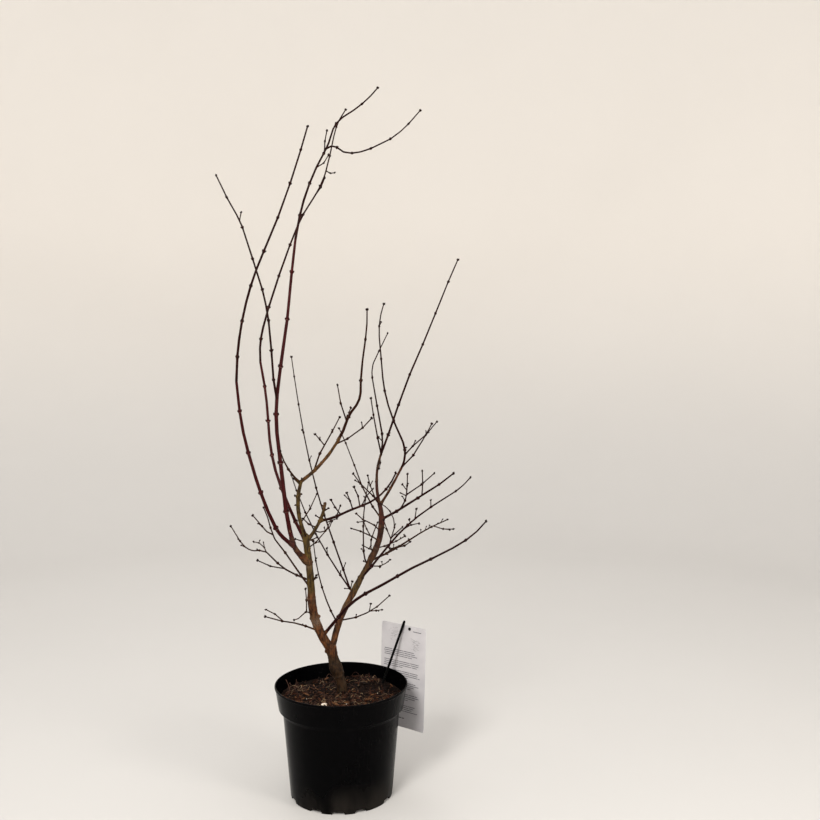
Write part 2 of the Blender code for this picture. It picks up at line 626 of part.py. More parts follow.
def spur_twigs():
    """Short spurs at some nodes of each mass, by a seeded rule, and none towards the crown's top.

    One that comes near a limb is skipped."""
    grown = []
    for node, limbs in NODES.items():
        rule = random.Random(node)
        if len(limbs) == 1 and limbs[0].foot > 2.4 * MM:
            continue
        for limb in list(limbs):
            for share in limb.nodes():
                turn = rule.uniform(0, math.tau)
                long = rule.uniform(*SPUR_LENGTH)
                fading = min(max((SPUR_TOP - limb.at(share).z) / SPUR_FADE, 0), 1)
                if rule.random() > SPUR_CHANCE * fading or share > 0.97:
                    continue
                grown.append((node, limb, share, turn, long))
    for number, (node, limb, share, turn, long) in enumerate(grown):
        forward = limb.heading(share)
        sideways = forward.orthogonal().normalized()
        sideways.rotate(Matrix.Rotation(turn, 3, forward))
        way = forward * SPUR_WAY["forward"] + sideways * SPUR_WAY["sideways"]
        way = (way + Vector((0, 0, SPUR_WAY["upward"]))).normalized()
        lean = math.degrees(math.atan2(way.x, way.z))
        back = math.degrees(math.asin(way.y))
        name = f"spur_{number}"
        spur = Limb(name, limb.at(share), long, SPUR_RADIUS, SPUR_RADIUS, (lean,), (back,), False)
        others = [other for other in LIMBS.values() if other is not limb]
        if min(clearance(spur, other) for other in others) > SPUR_CLEARANCE:
            LIMBS[spur.name] = spur
            NODES[node].append(spur)


def bark_of(node):
    thick = NODES[node][0].foot
    if node in ("trunk", "left_stem", "right_stem", "whip_base"):
        return "old_bark"
    if node in ("olive_bough", "bow_bough", "stub_bough", "right_leader"):
        return "olive_bark"
    return "red_bark" if thick > 1.4 * MM else "twig_bark"


def flare_trunk(obj):
    """Spreads the trunk's foot into root lobes and cuts it flat just above the compost."""
    shape = bmesh.new()
    shape.from_mesh(obj.data)
    for vert in shape.verts:
        above = vert.co.z - SOIL_LEVEL
        if above > 4 * FLARE_HEIGHT:
            continue
        share = min(max(above / LIMBS["trunk"].length, 0), 1)
        axis = LIMBS["trunk"].at(share)
        out = Vector((vert.co.x - axis.x, vert.co.y - axis.y, 0))
        angle = math.atan2(out.y, out.x)
        lobes = 1 - LOBE_DEPTH * (1 - math.cos(FLARE_LOBES * angle))
        vert.co += out.normalized() * FLARE * lobes * math.exp(-max(above, 0) / FLARE_HEIGHT)
    cut = bmesh.ops.bisect_plane(
        shape,
        geom=list(shape.verts) + list(shape.edges) + list(shape.faces),
        plane_co=(0, 0, SOIL_LEVEL + GAP),
        plane_no=(0, 0, 1),
        clear_inner=True,
    )
    rim = [item for item in cut["geom_cut"] if isinstance(item, bmesh.types.BMEdge)]
    bmesh.ops.contextual_create(shape, geom=rim)
    bmesh.ops.recalc_face_normals(shape, faces=shape.faces)
    shape.to_mesh(obj.data)
    shape.free()


def tree():
    """Builds every node in order, each cut 0.3 mm clear of the earlier limbs that it meets."""
    built = []
    for node, limbs in NODES.items():
        made = limb_tube(limbs[0])
        if node == "trunk":
            flare_trunk(made)
        boolean(made, "UNION", [limb_tube(limb) for limb in limbs[1:]])
        met = [other for other in built if min(clearance(limb, other) for limb in limbs) < 2 * GAP]
        boolean(made, "DIFFERENCE", [limb_tube(other, grown=GAP) for other in met])
        keep_largest_piece(made)
        made.name = node
        finish(made, bark_of(node), 0.6)
        built += limbs


def main():
    clear_scene()
    pot()
    soil()
    label_card()
    label_stake()
    trunk_and_stems()
    left_whips()
    top()
    olive_boughs()
    stub_and_level_arm()
    rear_and_centre()
    right_top()
    right_arms()
    right_inner_twigs()
    left_low_sprays()
    spur_twigs()
    tree()


main()
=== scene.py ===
"""The dressed look of a young Japanese maple in winter, in a round nursery pot with a label card.

Metres, +Z up, and the tree's front faces -Y. Limb lengths and thicknesses are given in millimetres
and headings in degrees, as in the solids that these pieces stand for.
"""

import math
import random

import bpy
import numpy as np
from mathutils import Matrix, Vector, noise


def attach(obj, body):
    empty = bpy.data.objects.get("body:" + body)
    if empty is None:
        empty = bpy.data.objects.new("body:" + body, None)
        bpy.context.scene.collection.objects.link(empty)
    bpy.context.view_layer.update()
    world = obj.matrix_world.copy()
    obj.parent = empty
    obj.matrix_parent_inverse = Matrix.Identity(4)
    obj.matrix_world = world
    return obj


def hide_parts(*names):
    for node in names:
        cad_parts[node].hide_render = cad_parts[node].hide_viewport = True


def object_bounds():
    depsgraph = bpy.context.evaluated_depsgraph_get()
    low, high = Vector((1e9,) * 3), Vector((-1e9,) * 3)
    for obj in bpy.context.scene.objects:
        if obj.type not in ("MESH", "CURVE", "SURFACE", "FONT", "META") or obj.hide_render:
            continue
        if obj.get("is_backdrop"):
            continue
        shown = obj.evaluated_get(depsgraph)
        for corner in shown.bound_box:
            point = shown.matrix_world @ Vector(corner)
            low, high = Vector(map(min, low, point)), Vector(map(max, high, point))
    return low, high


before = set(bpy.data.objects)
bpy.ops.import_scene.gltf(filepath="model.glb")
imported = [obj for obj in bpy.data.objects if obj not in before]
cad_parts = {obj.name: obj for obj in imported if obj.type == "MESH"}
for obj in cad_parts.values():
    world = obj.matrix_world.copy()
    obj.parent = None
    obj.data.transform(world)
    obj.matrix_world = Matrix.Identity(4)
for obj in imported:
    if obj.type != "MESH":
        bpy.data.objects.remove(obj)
CAD_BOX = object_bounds()

MM = 0.001

# Camera, floor and light
CAMERA_PLACE = (0.126, -1.795, 0.828)
CAMERA_PITCH = 3.89
SENSOR = 36.0
FOCAL_SHARE = 1000 / 820
# Name, place, what it aims at, size, watts and colour
LIGHTS = (
    ("key", (-0.8, -2.3, 2.3), (0, 0, 0.6), 1.0, 78, (1, 0.97, 0.92)),
    ("fill", (2.1, -1.6, 1.3), (0, 0, 0.5), 0.9, 30, (1, 0.95, 0.88)),
    ("back", (-0.5, 2.3, 2.3), (0, 0, 0.6), 1.4, 12, (1, 0.98, 0.95)),
)
ROOM_COLOUR = (0.93, 0.92, 0.9, 1)
ROOM_STRENGTH = 0.9
FLOOR_REACH = 3.4
SWEEP_RADIUS = 1.2
SWEEP_TOP = 3.2
SWEEP_STEPS = 12
STAGE_SIDES = 96

# Pot
POT_HEIGHT = 205 * MM
RIM_RADIUS = 121.3 * MM
RIM_LIP = 2.5 * MM
COLLAR_FOOT_RADIUS = 114.2 * MM
COLLAR_FOOT_HEIGHT = 163 * MM
WALL_TOP_RADIUS = 106.6 * MM
WALL_TOP_HEIGHT = 151 * MM
BASE_RADIUS = 93.5 * MM
WALL_THICKNESS = 2 * MM
FLOOR_HEIGHT = 12 * MM
FLOOR_THICKNESS = 3 * MM
FOOT_PAD_RADIUS = 22 * MM
SKIRT_THICKNESS = 3 * MM
RIM_BEAD = 5 * MM
NOTCH_TURNS = (-25.5, 0, 25.5)
FOOT_NOTCH_WIDTH = 20 * MM
FOOT_NOTCH_HEIGHT = 5.6 * MM
OUT_OF_ROUND = 0.0012
POT_SIDES = 256

# Compost. Its mounds are x, y, reach and height, and its pale chips x, y, length and width, in millimetres.
SOIL_LEVEL = 180 * MM
SOIL_RADIUS = 114.4 * MM
SOIL_RELIEF = 3.6 * MM
SOIL_MOUNDS = ((2, 14, 26, 5.5), (48, 88, 26, 6), (-84, 30, 22, 4), (20, -70, 30, 1.5))
SOIL_CELL = 1.8 * MM
SOIL_SIDES = 220
CHIPS = 4200
CHIP_LENGTH = 5.6
LONGEST_CHIP = 19
RUSTY_MOUND = (46, 88, 24)
CHIP_KINDS = {
    "dark": (0.5, (0.003, 0.0014, 0.0009), (0.009, 0.0036, 0.0022)),
    "rust": (0.36, (0.013, 0.004, 0.0019), (0.05, 0.015, 0.0058)),
    "tan": (0.14, (0.06, 0.025, 0.011), (0.16, 0.075, 0.034)),
    "pale": (0, (0.35, 0.26, 0.18), (0.8, 0.74, 0.64)),
}
PALE_CHIPS = ((-28, -46, 16, 10), (66, 12, 4, 2), (-62, -16, 4, 2), (12, -44, 5, 2))
# Fibres: middle, reach, how many, lengths and how high they arch at most, in millimetres.
FIBRE_CLUSTERS = (
    ((46, 88), 17, 34, (10, 34), 11), ((-84, 30), 14, 16, (10, 34), 11), ((-30, 84), 14, 5, (10, 34), 11),
    ((0, 0), 98, 170, (10, 34), 5), ((-4, -56), 62, 230, (5, 18), 5),
)
FIBRE_STEPS = 12
# Straws that stand against the pot's wall: foot, tip and thickness in millimetres.
STRAWS = (
    ((-96, 10, 180), (-104, 22, 203), 0.9), ((-92, 16, 180), (-86, 34, 199), 0.7),
    ((-100, 2, 180), (-97, 26, 196), 0.6), ((-84, 20, 180), (-99, 30, 194), 0.6),
)

# Label card and its stake
CARD_WIDTH = 105 * MM
CARD_HEIGHT = 197 * MM
CARD_THICKNESS = 0.6 * MM
CARD_TOP = 290 * MM
CARD_CELLS = (25, 31)
SHEET_CORNER = 1.5 * MM
CARD_AZIMUTH = math.radians(53.5)
CARD_DISTANCE = 128.7 * MM
CARD_SHIFT = 45 * MM
CARD_SWING = math.radians(2.4)
CARD_BOW = 1.6 * MM
# Bars on the card: height of the first line above the card's middle, lines, bar height, all in millimetres.
CARD_PARAGRAPHS = (
    (47, 4, 1.2), (26, 4, 1.2), (7.5, 4, 1.2), (-13, 4, 1.2), (-35, 4, 1.2), (-57, 5, 1.2), (-82, 1, 1.8),
)
CARD_LINE_PITCH = 3.6
TITLE_BAR = (21, 41, 88, 1.3)
# Patches of faint strokes: middle across and up, and their width and height.
STROKE_PATCHES = ((-24, 78, 15, 15), (24, 66, 12, 13))
STROKES = 34
PRINT_PROUD = 0.12 * MM
RIVET_RADIUS = 3 * MM
RIVET_SHIFT = 58 * MM
RIVET_BELOW_TOP = 6 * MM
RIVET_STEPS = ((-2.2, 0.6), (-1.2, 0.6), (-1.1, 1), (0.6, 1), (1.1, 0.86), (1.5, 0.5))
STAKE_RADIUS = 2.2 * MM
STAKE_FOOT = Vector((73.5, 64, 180.3)) * MM
STAKE_SHIFT = 44.5 * MM
STAKE_CLEAR_OF_CARD = 2.61 * MM
STAKE_PAST_TOP = 6.5 * MM
STAKE_SUNK = 9 * MM

# Tree, by the rule of its solids
TRUNK_FOOT = Vector((1.6, 18.7, 168.3)) * MM
FLARE = 1.5 * MM
FLARE_HEIGHT = 11 * MM
FLARE_LOBES = 5
LOBE_DEPTH = 0.3
SHORTEST_INTERNODE = 30 * MM
INTERNODE_PER_THICKNESS = 8
NODE_SWELLING = 0.3
COLLAR_SWELLING = 0.35
COLLAR_REACH = 3
PATH_STEPS = 80
HEADING_REACH = 0.02
SPUR_TOP = 950 * MM
SPUR_FADE = 400 * MM
SPUR_WAY = {"forward": 0.6, "sideways": 0.7, "upward": 0.35}
NEAR_TIP = 0.97

# Finer growth
SHOOT_SPACING_ON_BUSHY = 13 * MM
BUSHY_STRETCH = (0.25, 0.96)
BUSHY = ("brush_spray", "brush_end", "brush_low", "brush_high", "brush_upper", "low_tuft")
THICK_FOOT = 1.7 * MM
BOUGH_FOOT = 2.4 * MM
KINK = 1.3 * MM
KINK_ON_WHIP = 0.7 * MM
CORNER = 1.1 * MM
ROOT_FADE = 14 * MM

# Old wood: name, and how olive it is and how young and red at its foot and tip.
OLD = {
    "trunk": (0, 0, 0), "left_stem": (0.2, 0, 0.1), "right_stem": (0.3, 0, 0.9), "whip_base": (0.1, 0.1, 0.9),
    "olive_bough": (0.9, 0, 0), "bow_bough": (0.45, 0, 0.3), "stub_bough": (0.7, 0.2, 0.5),
    "right_leader": (0.1, 0.9, 1), "fork_bough": (0.1, 0.5, 0.5),
}
# How much thicker than an even taper the drawn limb is, by share: the trunk swells over a graft.
SWELLINGS = {
    "trunk": (
        (0, 1), (0.28, 0.98), (0.4, 0.94), (0.46, 1.03), (0.52, 1.24), (0.58, 1.33),
        (0.67, 1.21), (0.76, 1.04), (0.84, 0.94), (0.91, 1), (1, 1),
    ),
    "left_stem": ((0, 0.96), (0.2, 1), (1, 1)),
    "right_stem": (
        (0, 0.9), (0.1, 1), (0.34, 1.02), (0.43, 1.3), (0.5, 1.02), (0.57, 1),
        (0.65, 1.34), (0.72, 1.28), (0.9, 1.3), (1, 1.12),
    ),
}
VOXEL = 0.8 * MM
SMOOTHINGS = 7
SKIN_FULLER = 0.1 * MM
COLLAR_STUB = 4
COLLAR_FULLER = 0.15 * MM
# How many times a limb's thickness the skin has at the limb's foot, and how much of it fades along the stub.
COLLAR_AT_FOOT = 1.45
COLLAR_FADES = 0.62
# Where the bark turns olive or pale: limb, share, and reach in millimetres.
OLIVE_SPOTS = (
    ("right_stem", 0.47, 16), ("right_stem", 0.64, 24),
    ("left_stem", 0.62, 14), ("left_stem", 0.77, 24), ("left_stem", 0.97, 34),
)
PALE_SPOTS = (("left_stem", 0.78, 6), ("left_stem", 0.3, 8))
RING_HALF = 1.6 * MM
# Broad swellings, coarse ridges, wrinkles across and fine ridges: how dense round the limb, which way the
# seed shifts each, and its reach along the limb in millimetres.
BARK_NOISES = ((0.9, 1, 0, 17), (3.4, 0, 1, 11), (0.8, 1, 1, 1.5), (7.5, 0, 1, 5))
# The bark's relief is measured where half the wood's thickness is this, and goes with it within a range.
FULL_RELIEF_AT = 8.5 * MM
RELIEF_RANGE = (0.4, 1.2)
CRACK_WIDTH = 0.09
# How far each stands out of the bark there, in millimetres.
RELIEF = {"coarse": 0.6, "wrinkles": 0.5, "fine": 0.3, "cracks": -0.55, "rings": 0.6}
DAMP_TOP = 85 * MM
DAMP_FADE = 20 * MM

# Twigs by the tone of their bark: the masses, and the bark's colour, its pale colour and its roughness.
GROUPS = {
    "maroon": ("red_leader outer_whip_low inner_whip_low",
               (0.034, 0.003, 0.0035), (0.07, 0.014, 0.013), 0.42),
    "dark": ("low_reach outer_whip_high top_spray inner_spray cross_whip right_top_spray fork_spray mid_spray"
             " level_spray reach_spray rear_spray",
             (0.015, 0.0022, 0.0016), (0.032, 0.008, 0.005), 0.48),
    "umber": ("bow_spray bow_right_spray bow_side_spray centre_whip left_low_spray left_mid_spray cross_riser"
              " rear_riser pair_front pair_back low_right_spray",
              (0.02, 0.005, 0.002), (0.045, 0.016, 0.007), 0.52),
    "grey": ("elbow_spray olive_twig curl_left curl_right crotch_twig brush_spray brush_upper low_tuft"
             " inner_upper_spray inner_lower_spray inner_riser inner_small left_hook_spray left_foot_spray",
             (0.026, 0.009, 0.0036), (0.055, 0.026, 0.012), 0.58),
}
KNOB_OFFSETS = np.array((-4, -2.4, -1.4, -0.7, 0, 0.7, 1.4, 2.4, 4)) * MM
KNOB_HALF = 1.9 * MM
KNOB_ON_WHIP = 0.68
KNOB_ON_TWIG = 0.85
# Pale rings at a whip's node: how far along from it, and how much thicker than the whip.
NODE_RINGS = ((-1.5 * MM, 1.43), (1.3 * MM, 1.36))
DRAWN_FULLER = 0.2 * MM
BUD_PROFILE = ((0, 0), (0.5, 0), (0.85, 0.15), (1, 0.36), (0.86, 0.58), (0.52, 0.78), (0.22, 0.92), (0, 1))
BUD_SIDES = 8
# A side bud's length and width: the least, and a share of the shoot's half thickness besides.
BUD_LENGTH = (2.15 * MM, 1.05)
BUD_WIDTH = (0.8 * MM, 0.47)
SHORT_SPUR = 14 * MM

# Each row is a limb: its name, the limb it grows on and where, its length and its thickness at foot and
# tip / leans / backs. After + is a twig that belongs to the mass of the limb it grows on, and after @ the
# mass that a twig is coloured with. A twig has a name only where another row or rule needs one.
LIMB_ROWS = """
trunk - 0 102 17 20 / -5 -5 -16 -20 -10 -8 / -3 -6 -9
left_stem trunk 0.95 234 17.4 11.4 / -34 -1 -7 / -17 -12 -5
right_stem trunk 0.93 290 12.4 7.6 / 8 29 28 -14 / 9 12 2
whip_base left_stem 0.79 50 11.6 9.2 / -49 -20 / -27
red_leader whip_base 1 550 7.6 4.2 / -15 -6 -8 6 8 4 7 / 3 10 7
outer_whip_low whip_base 0.98 329 6.4 4 / -53 -21 -16 -14 -11 -4 -1 / -33 -13 -18
outer_whip_high outer_whip_low 1 435 4 2.2 / 3 13 24 18 14 / -13 4 13
inner_whip_low left_stem 0.93 359 5.6 4 / -29 -24 -5 -12 / 12 27 4
cross_whip red_leader 0.47 406 3.8 1.8 / -8 0 -1 -8 -16 -13 -29 -20 / -22 -18 -23
+ cross_whip 0.8 17 1.6 1.4 / 16 -5 / 31
top_spray red_leader 1 341 4.2 2.2 / 8 11 17 22 28 12 57 48 36 / 11 15 13
+ top_spray 0.53 245 3 1.6 / 55 141 101 82 75 63 50 44 / -44 -39 -30
+ top_spray 0.51 38 2 1.6 / -1 18 / -16
+ top_spray 0.41 37 1.8 1.4 / 80 23 / -31
inner_spray inner_whip_low 1 516 4 1.8 / -6 14 18 20 23 35 13 9 33 / 9 -2 25
+ inner_spray 0.74 23 1.8 1.4 / 133 52 / 46
+ inner_spray 0.64 41 2 1.6 / 49 20 / -29
olive_bough left_stem 1 105 7.4 6.4 / -23 17 / -14 -9
bow_bough olive_bough 1 101 6.4 5 / 54 30 / -9 -12
bow_spray bow_bough 1 240 5 1.8 / 34 17 41 0 6 9 6 -2 / -20 -11 -1
+ bow_spray 0.17 69 2.4 1.4 / -20 -4 / -22 -21
+ bow_spray 0.2 23 1.8 1.4 / 5 21 / 46
bow_right_spray bow_bough 0.93 91 2.4 1.6 / 68 38 / -29 -26
bow_side_spray bow_bough 0.3 112 2.8 1.6 / 12 32 24 / 18 35
+ bow_side_spray 0.45 25 1.8 1.4 / -39 -43 / 12
elbow_spray olive_bough 0.97 75 3.8 1.6 / -43 -13 / -36 -13
olive_twig olive_bough 0.25 63 2 1.4 / 38 19 / 29 37
stub_bough left_stem 0.96 87 6.6 5 / 42 11 / -16 -23
mid_spray stub_bough 0.57 170 4.6 2.4 / 79 62 71 46 23 / -27 31
+ mid_spray 0.25 38 2 1.6 / -34 -21 / -31
+ mid_spray 0.2 20 1.6 1.4 / 21 18 / 23
+ mid_spray 0.39 37 2 1.6 / -11 -21 / -28
+ mid_spray 0.47 38 2 1.6 / -4 -34 / 27
+ mid_spray 0.49 48 1.8 1.4 / 17 46 / -34
curl_left stub_bough 0.39 41 2.2 1.6 / -65 -23 / -44
curl_right stub_bough 0.3 67 2 1.4 / 102 9 / -51 -37
crotch_twig left_stem 0.9 81 2 1.4 / 69 20 / 53 41
rear_spray right_stem 0.4 15 4.6 3.2 / -57 -84 / 53
+rear_long rear_spray 0.9 453 3 1.4 / -21 -21 -14 -10 -8 / 18 6 6
+ rear_spray 0.9 244 2.8 1.4 / -40 -27 -15 / 24 -2 -11
centre_whip right_stem 0.17 172 2.6 1.4 / -24 -6 / -27 10
low_reach left_stem 0.15 399 5.8 2.2 / 38 38 59 54 61 56 35 / -14 -23 -17
low_right_spray right_stem 0.2 122 2.6 1.6 / 97 49 / 36 39
+ low_right_spray 0.55 18 1.6 1.4 / 7 11 / -21
+ low_right_spray 0.56 23 1.6 1.4 / 87 84 / 10
right_leader right_stem 1 91 6.4 4.4 / -15 17 / 5 8
right_top_spray right_leader 1 392 3.8 1.8 / 21 18 24 21 24 / -11 -12 -14
+right_fan_bow right_top_spray 0.01 237 3.2 1.4 / 12 -12 -9 -11 30 23 / 13 7 14
+ right_top_spray 0.01 111 2.8 1.6 / -12 -7 / -16 -15
+ right_fan_bow 0.1 14 1.6 1.4 / -40 -39 / -34
fork_bough right_stem 0.99 82 5.4 4.2 / 32 26 / -22 -9
fork_spray fork_bough 1 316 3.8 1.6 / 31 -26 -17 -4 -5 20 / -12 -9 -9
+ fork_spray 0.1 83 2.4 1.6 / 35 53 16 / -25 -17
+ fork_spray 0.02 114 2.8 1.6 / 53 29 46 / 30 17
level_spray right_stem 0.9 170 4.6 2.4 / 61 54 56 47 / -20 -17
+level_riser level_spray 0.26 78 2.6 1.6 / 35 5 0 / -36 -10
+ level_riser 0.47 72 2.4 1.6 / 63 49 / 25 35
+ level_riser 0.44 16 1.8 1.4 / -50 -64 / -41
+ level_riser 0.59 18 1.6 1.4 / -34 -32 / -35
+ level_spray 0.56 48 2.2 1.6 / 6 -5 / -16
reach_spray right_stem 0.49 314 4.2 1.6 / 38 36 36 45 52 55 34 / -30 -18 -29
+ reach_spray 0.56 19 1.8 1.4 / 15 1 / -11
+ reach_spray 0.46 51 1.8 1.4 / 62 104 / 54
+reach_twin reach_spray 0.33 52 2 1.6 / -4 66 45 / 48
+ reach_twin 0.26 76 1.8 1.4 / 34 -67 / 32 6
+ reach_twin 0.24 37 1.8 1.4 / -24 -16 / -4
brush_spray right_stem 0.62 195 3.8 1.8 / 77 62 74 / 39 31
+brush_end brush_spray 0.82 42 1.8 1.4 / 119 85 / 15
+brush_low brush_spray 0.35 32 2 1.6 / 83 36 / -30
+brush_high brush_spray 0.19 42 1.8 1.6 / 48 92 / 49
brush_upper right_stem 0.71 75 2 1.6 / 92 62 / 51 33
low_tuft right_stem 0.61 70 2.2 1.4 / 159 85 59 / 39 62
inner_upper_spray right_stem 0.82 76 2.4 1.6 / -41 -81 -48 / 44 42
+ inner_upper_spray 0.6 19 1.6 1.4 / -108 -99 / 30
inner_lower_spray right_stem 0.76 83 2.4 1.6 / -42 -66 / -48 -41
+ inner_lower_spray 0.36 33 1.8 1.4 / -29 -16 / -24
inner_riser right_stem 0.67 71 2.4 1.6 / -57 18 23 / 67 -11
inner_small right_stem 0.69 45 2 1.4 / -54 -43 / -53
rear_riser right_stem 0.59 171 2.8 1.4 / -47 -3 -3 3 8 14 / 56 -13
cross_riser right_stem 0.9 198 2.8 1.4 / -43 -20 -25 / 33 5
pair_front right_stem 0.99 104 2.6 1.6 / -24 -44 -24 / -38 -37
pair_back right_stem 0.98 75 2 1.6 / -39 -13 / 45 31
left_low_spray left_stem 0.57 189 3.4 1.6 / -31 -26 -29 -36 -8 -24 / -31 -9
+ left_low_spray 0.72 59 2.2 1.6 / -80 -38 -60 / 33
left_mid_spray left_stem 0.64 230 3.2 1.6 / -89 -76 -74 -57 -50 -109 -63 -31 -47 / 42 33 26
+ left_mid_spray 0.3 60 2 1.6 / -79 -47 / -30 -35
+ left_mid_spray 0.54 70 1.8 1.4 / -44 -105 / 71 49
left_hook_spray left_stem 0.33 71 2.4 1.4 / -36 -24 -146 -69 / -49 -57
+ left_hook_spray 0.47 47 2 1.4 / 3 -3 / -17
left_foot_spray left_stem 0.2 121 3 1.6 / -54 -59 -74 -57 / -38 -29
+ left_foot_spray 0.69 45 1.8 1.6 / -53 -82 / 34
"""
# Small shoots that the masses and boughs carry besides.
SMALL_ROWS = """
@curl_left left_stem 0.96 26 2 1.4 / 80 50 / -30
@curl_left left_stem 0.97 24 1.8 1.3 / -8 -4 / -38
@curl_left left_stem 0.95 22 2 1.4 / -76 -62 / -20
@curl_left rear_long 0.29 22 1.6 1.3 / 67 / -15
@rear_spray rear_spray 0.79 17 1.8 1.3 / 10 18 / -20
@rear_spray rear_spray 0.88 10 1.6 1.3 / -82 / -10
@left_mid_spray left_mid_spray 0.75 12 1.6 1.3 / -65 / 10
@left_mid_spray left_stem 0.62 19 2.2 1.6 / 60 25 / -30
@left_mid_spray left_stem 0.64 16 2 1.5 / 80 12 / -10
@right_top_spray right_leader 0.97 22 1.3 1 / 165 182 205 / -25 0
@elbow_spray olive_bough 0.72 7 2.4 1.8 / -78 -50 / -20
@elbow_spray olive_bough 0.74 7.5 2.2 1.7 / 66 50 / -14
@elbow_spray olive_bough 0.56 6.5 2.4 1.8 / -80 -50 / -30
@elbow_spray olive_bough 0.94 15 2.2 1.6 / -60 -35 / 10
@elbow_spray olive_bough 0.98 10 2.4 1.8 / 24 12 / -32
@elbow_spray olive_bough 0.96 9 2.2 1.6 / -22 -12 / -48
@mid_spray stub_bough 0.9 10 2.2 1.7 / -60 -25 / -10
@mid_spray stub_bough 0.8 13 2.2 1.8 / 70 40 / -20
@mid_spray stub_bough 0.62 13 2 1.6 / -70 -30 / -30
@brush_upper right_stem 0.6 13 2 1.5 / -70 -40 / -30
@brush_upper right_stem 0.55 12 2 1.5 / 80 60 / 10
"""
# Stubs and knots fused into the old wood: limb, then share, how far each stands proud, thickness, lean, back.
KNOT_ROWS = """
trunk 0.6 1.3 15 -80 -10 / 0.47 2.2 6 -30 -50
left_stem 0.01 1.4 10 -98 -10 / 0.31 3 7 -72 -12 / 0.33 4 6 76 -16 / 0.28 2.5 7 -60 40 / 0.6 2.2 5.5 62 -30
left_stem 0.78 2.4 7.5 60 30 / 0.9 2 6.5 70 -30
trunk 0.93 4.4 8 -78 -20 / 0.72 2 9 40 60 / 0.5 1.8 8 70 -30
right_stem 0.16 2.4 5.5 -60 -30 / 0.33 1.6 5.5 60 -30 / 0.49 2.2 5 75 -10 / 0.5 2 5 -75 20
right_stem 0.62 2 4.8 -60 -40 / 0.9 1.8 5 -60 -30
olive_bough 0.56 1.8 4.4 50 -30 / 0.71 1.7 4.6 -75 -20 / 0.73 1.7 4.6 75 10 / 0.42 1.5 4.8 78 -20
olive_bough 0.2 1.5 5 -70 -35
bow_bough 0.32 1.6 4.4 140 -30
stub_bough 0.76 1.7 4.4 95 -15 / 0.36 1.6 4.8 -40 -45
olive_bough 0.97 2.4 5.5 -30 -40
bow_bough 0.5 1.5 4.2 -30 -40
stub_bough 0.55 1.8 4.6 -50 -20 / 0.98 1.4 4.6 -40 10
whip_base 0.6 2.2 5.5 30 -50
right_leader 0.45 1.4 4 -60 -20 / 0.85 1.4 4 60 -10
fork_bough 0.5 1.2 3.8 60 -20
"""

# ---- Meshes from arrays ----


class Mass:
    """Points and faces gathered from many small forms, to become one piece."""

    def __init__(self):
        self.points, self.quads, self.triangles = [], [], []
        self.count = 0

    def add(self, points, quads=(), triangles=()):
        self.points.append(np.asarray(points, dtype=float).reshape(-1, 3))
        self.quads.append(np.asarray(quads, dtype=int).reshape(-1, 4) + self.count)
        self.triangles.append(np.asarray(triangles, dtype=int).reshape(-1, 3) + self.count)
        self.count += len(self.points[-1])

    def joined(self):
        return [np.concatenate(part) for part in (self.points, self.quads, self.triangles)]

    def object(self, name):
        points, quads, triangles = self.joined()
        corners = np.concatenate([quads.ravel(), triangles.ravel()])
        starts = np.concatenate([np.arange(len(quads)) * 4, 4 * len(quads) + np.arange(len(triangles)) * 3])
        mesh = bpy.data.meshes.new(name)
        mesh.vertices.add(self.count)
        mesh.vertices.foreach_set("co", points.ravel())
        mesh.loops.add(len(corners))
        mesh.loops.foreach_set("vertex_index", corners)
        mesh.polygons.add(len(starts))
        mesh.polygons.foreach_set("loop_start", starts)
        mesh.update(calc_edges=True)
        mesh.shade_smooth()
        return placed_object(name, mesh)

    def piece(self, name, *args, **settings):
        piece(self.object(name), *args, **settings)


def placed_object(name, data):
    made = bpy.data.objects.new(name, data)
    bpy.context.scene.collection.objects.link(made)
    return made


def piece(obj, look, slot, *nodes, sharp_degrees=None):
    """Gives the object its material and its place in the frame."""
    obj.data.materials.clear()
    obj.data.materials.append(look)
    if sharp_degrees:
        obj.data.set_sharp_from_angle(angle=math.radians(sharp_degrees))
    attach(obj, "root")
    if nodes:
        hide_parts(*nodes)


def unit(vectors):
    return vectors / np.linalg.norm(vectors, axis=-1, keepdims=True)


def turned_by(angle, axis):
    return Matrix.Rotation(angle, 3, axis)


def grid_quads(rows, columns, closed):
    """Faces between rows of points that are numbered row by row."""
    column = np.arange(columns if closed else columns - 1)
    low, column = np.meshgrid(np.arange(rows - 1) * columns, column, indexing="ij")
    after = low + (column + 1) % columns
    column = low + column
    return np.stack([column, after, after + columns, column + columns], axis=-1).reshape(-1, 4)


def fan(centre, ring, turned_over=False):
    """Triangles from one point to each side of a closed ring."""
    pair = (ring, np.roll(ring, -1))
    return np.stack([np.full(len(ring), centre), *(pair[::-1] if turned_over else pair)], axis=1)


def capped(mass, rings, foot, tip):
    """Closes rings of points, row by row, with a point at each end."""
    rows, sides = rings.shape[:2]
    count = rows * sides
    caps = [fan(count, np.arange(sides), turned_over=True), fan(count + 1, np.arange(count - sides, count))]
    points = np.vstack([rings.reshape(-1, 3), foot, tip])
    mass.add(points, grid_quads(rows, sides, closed=True), np.vstack(caps))


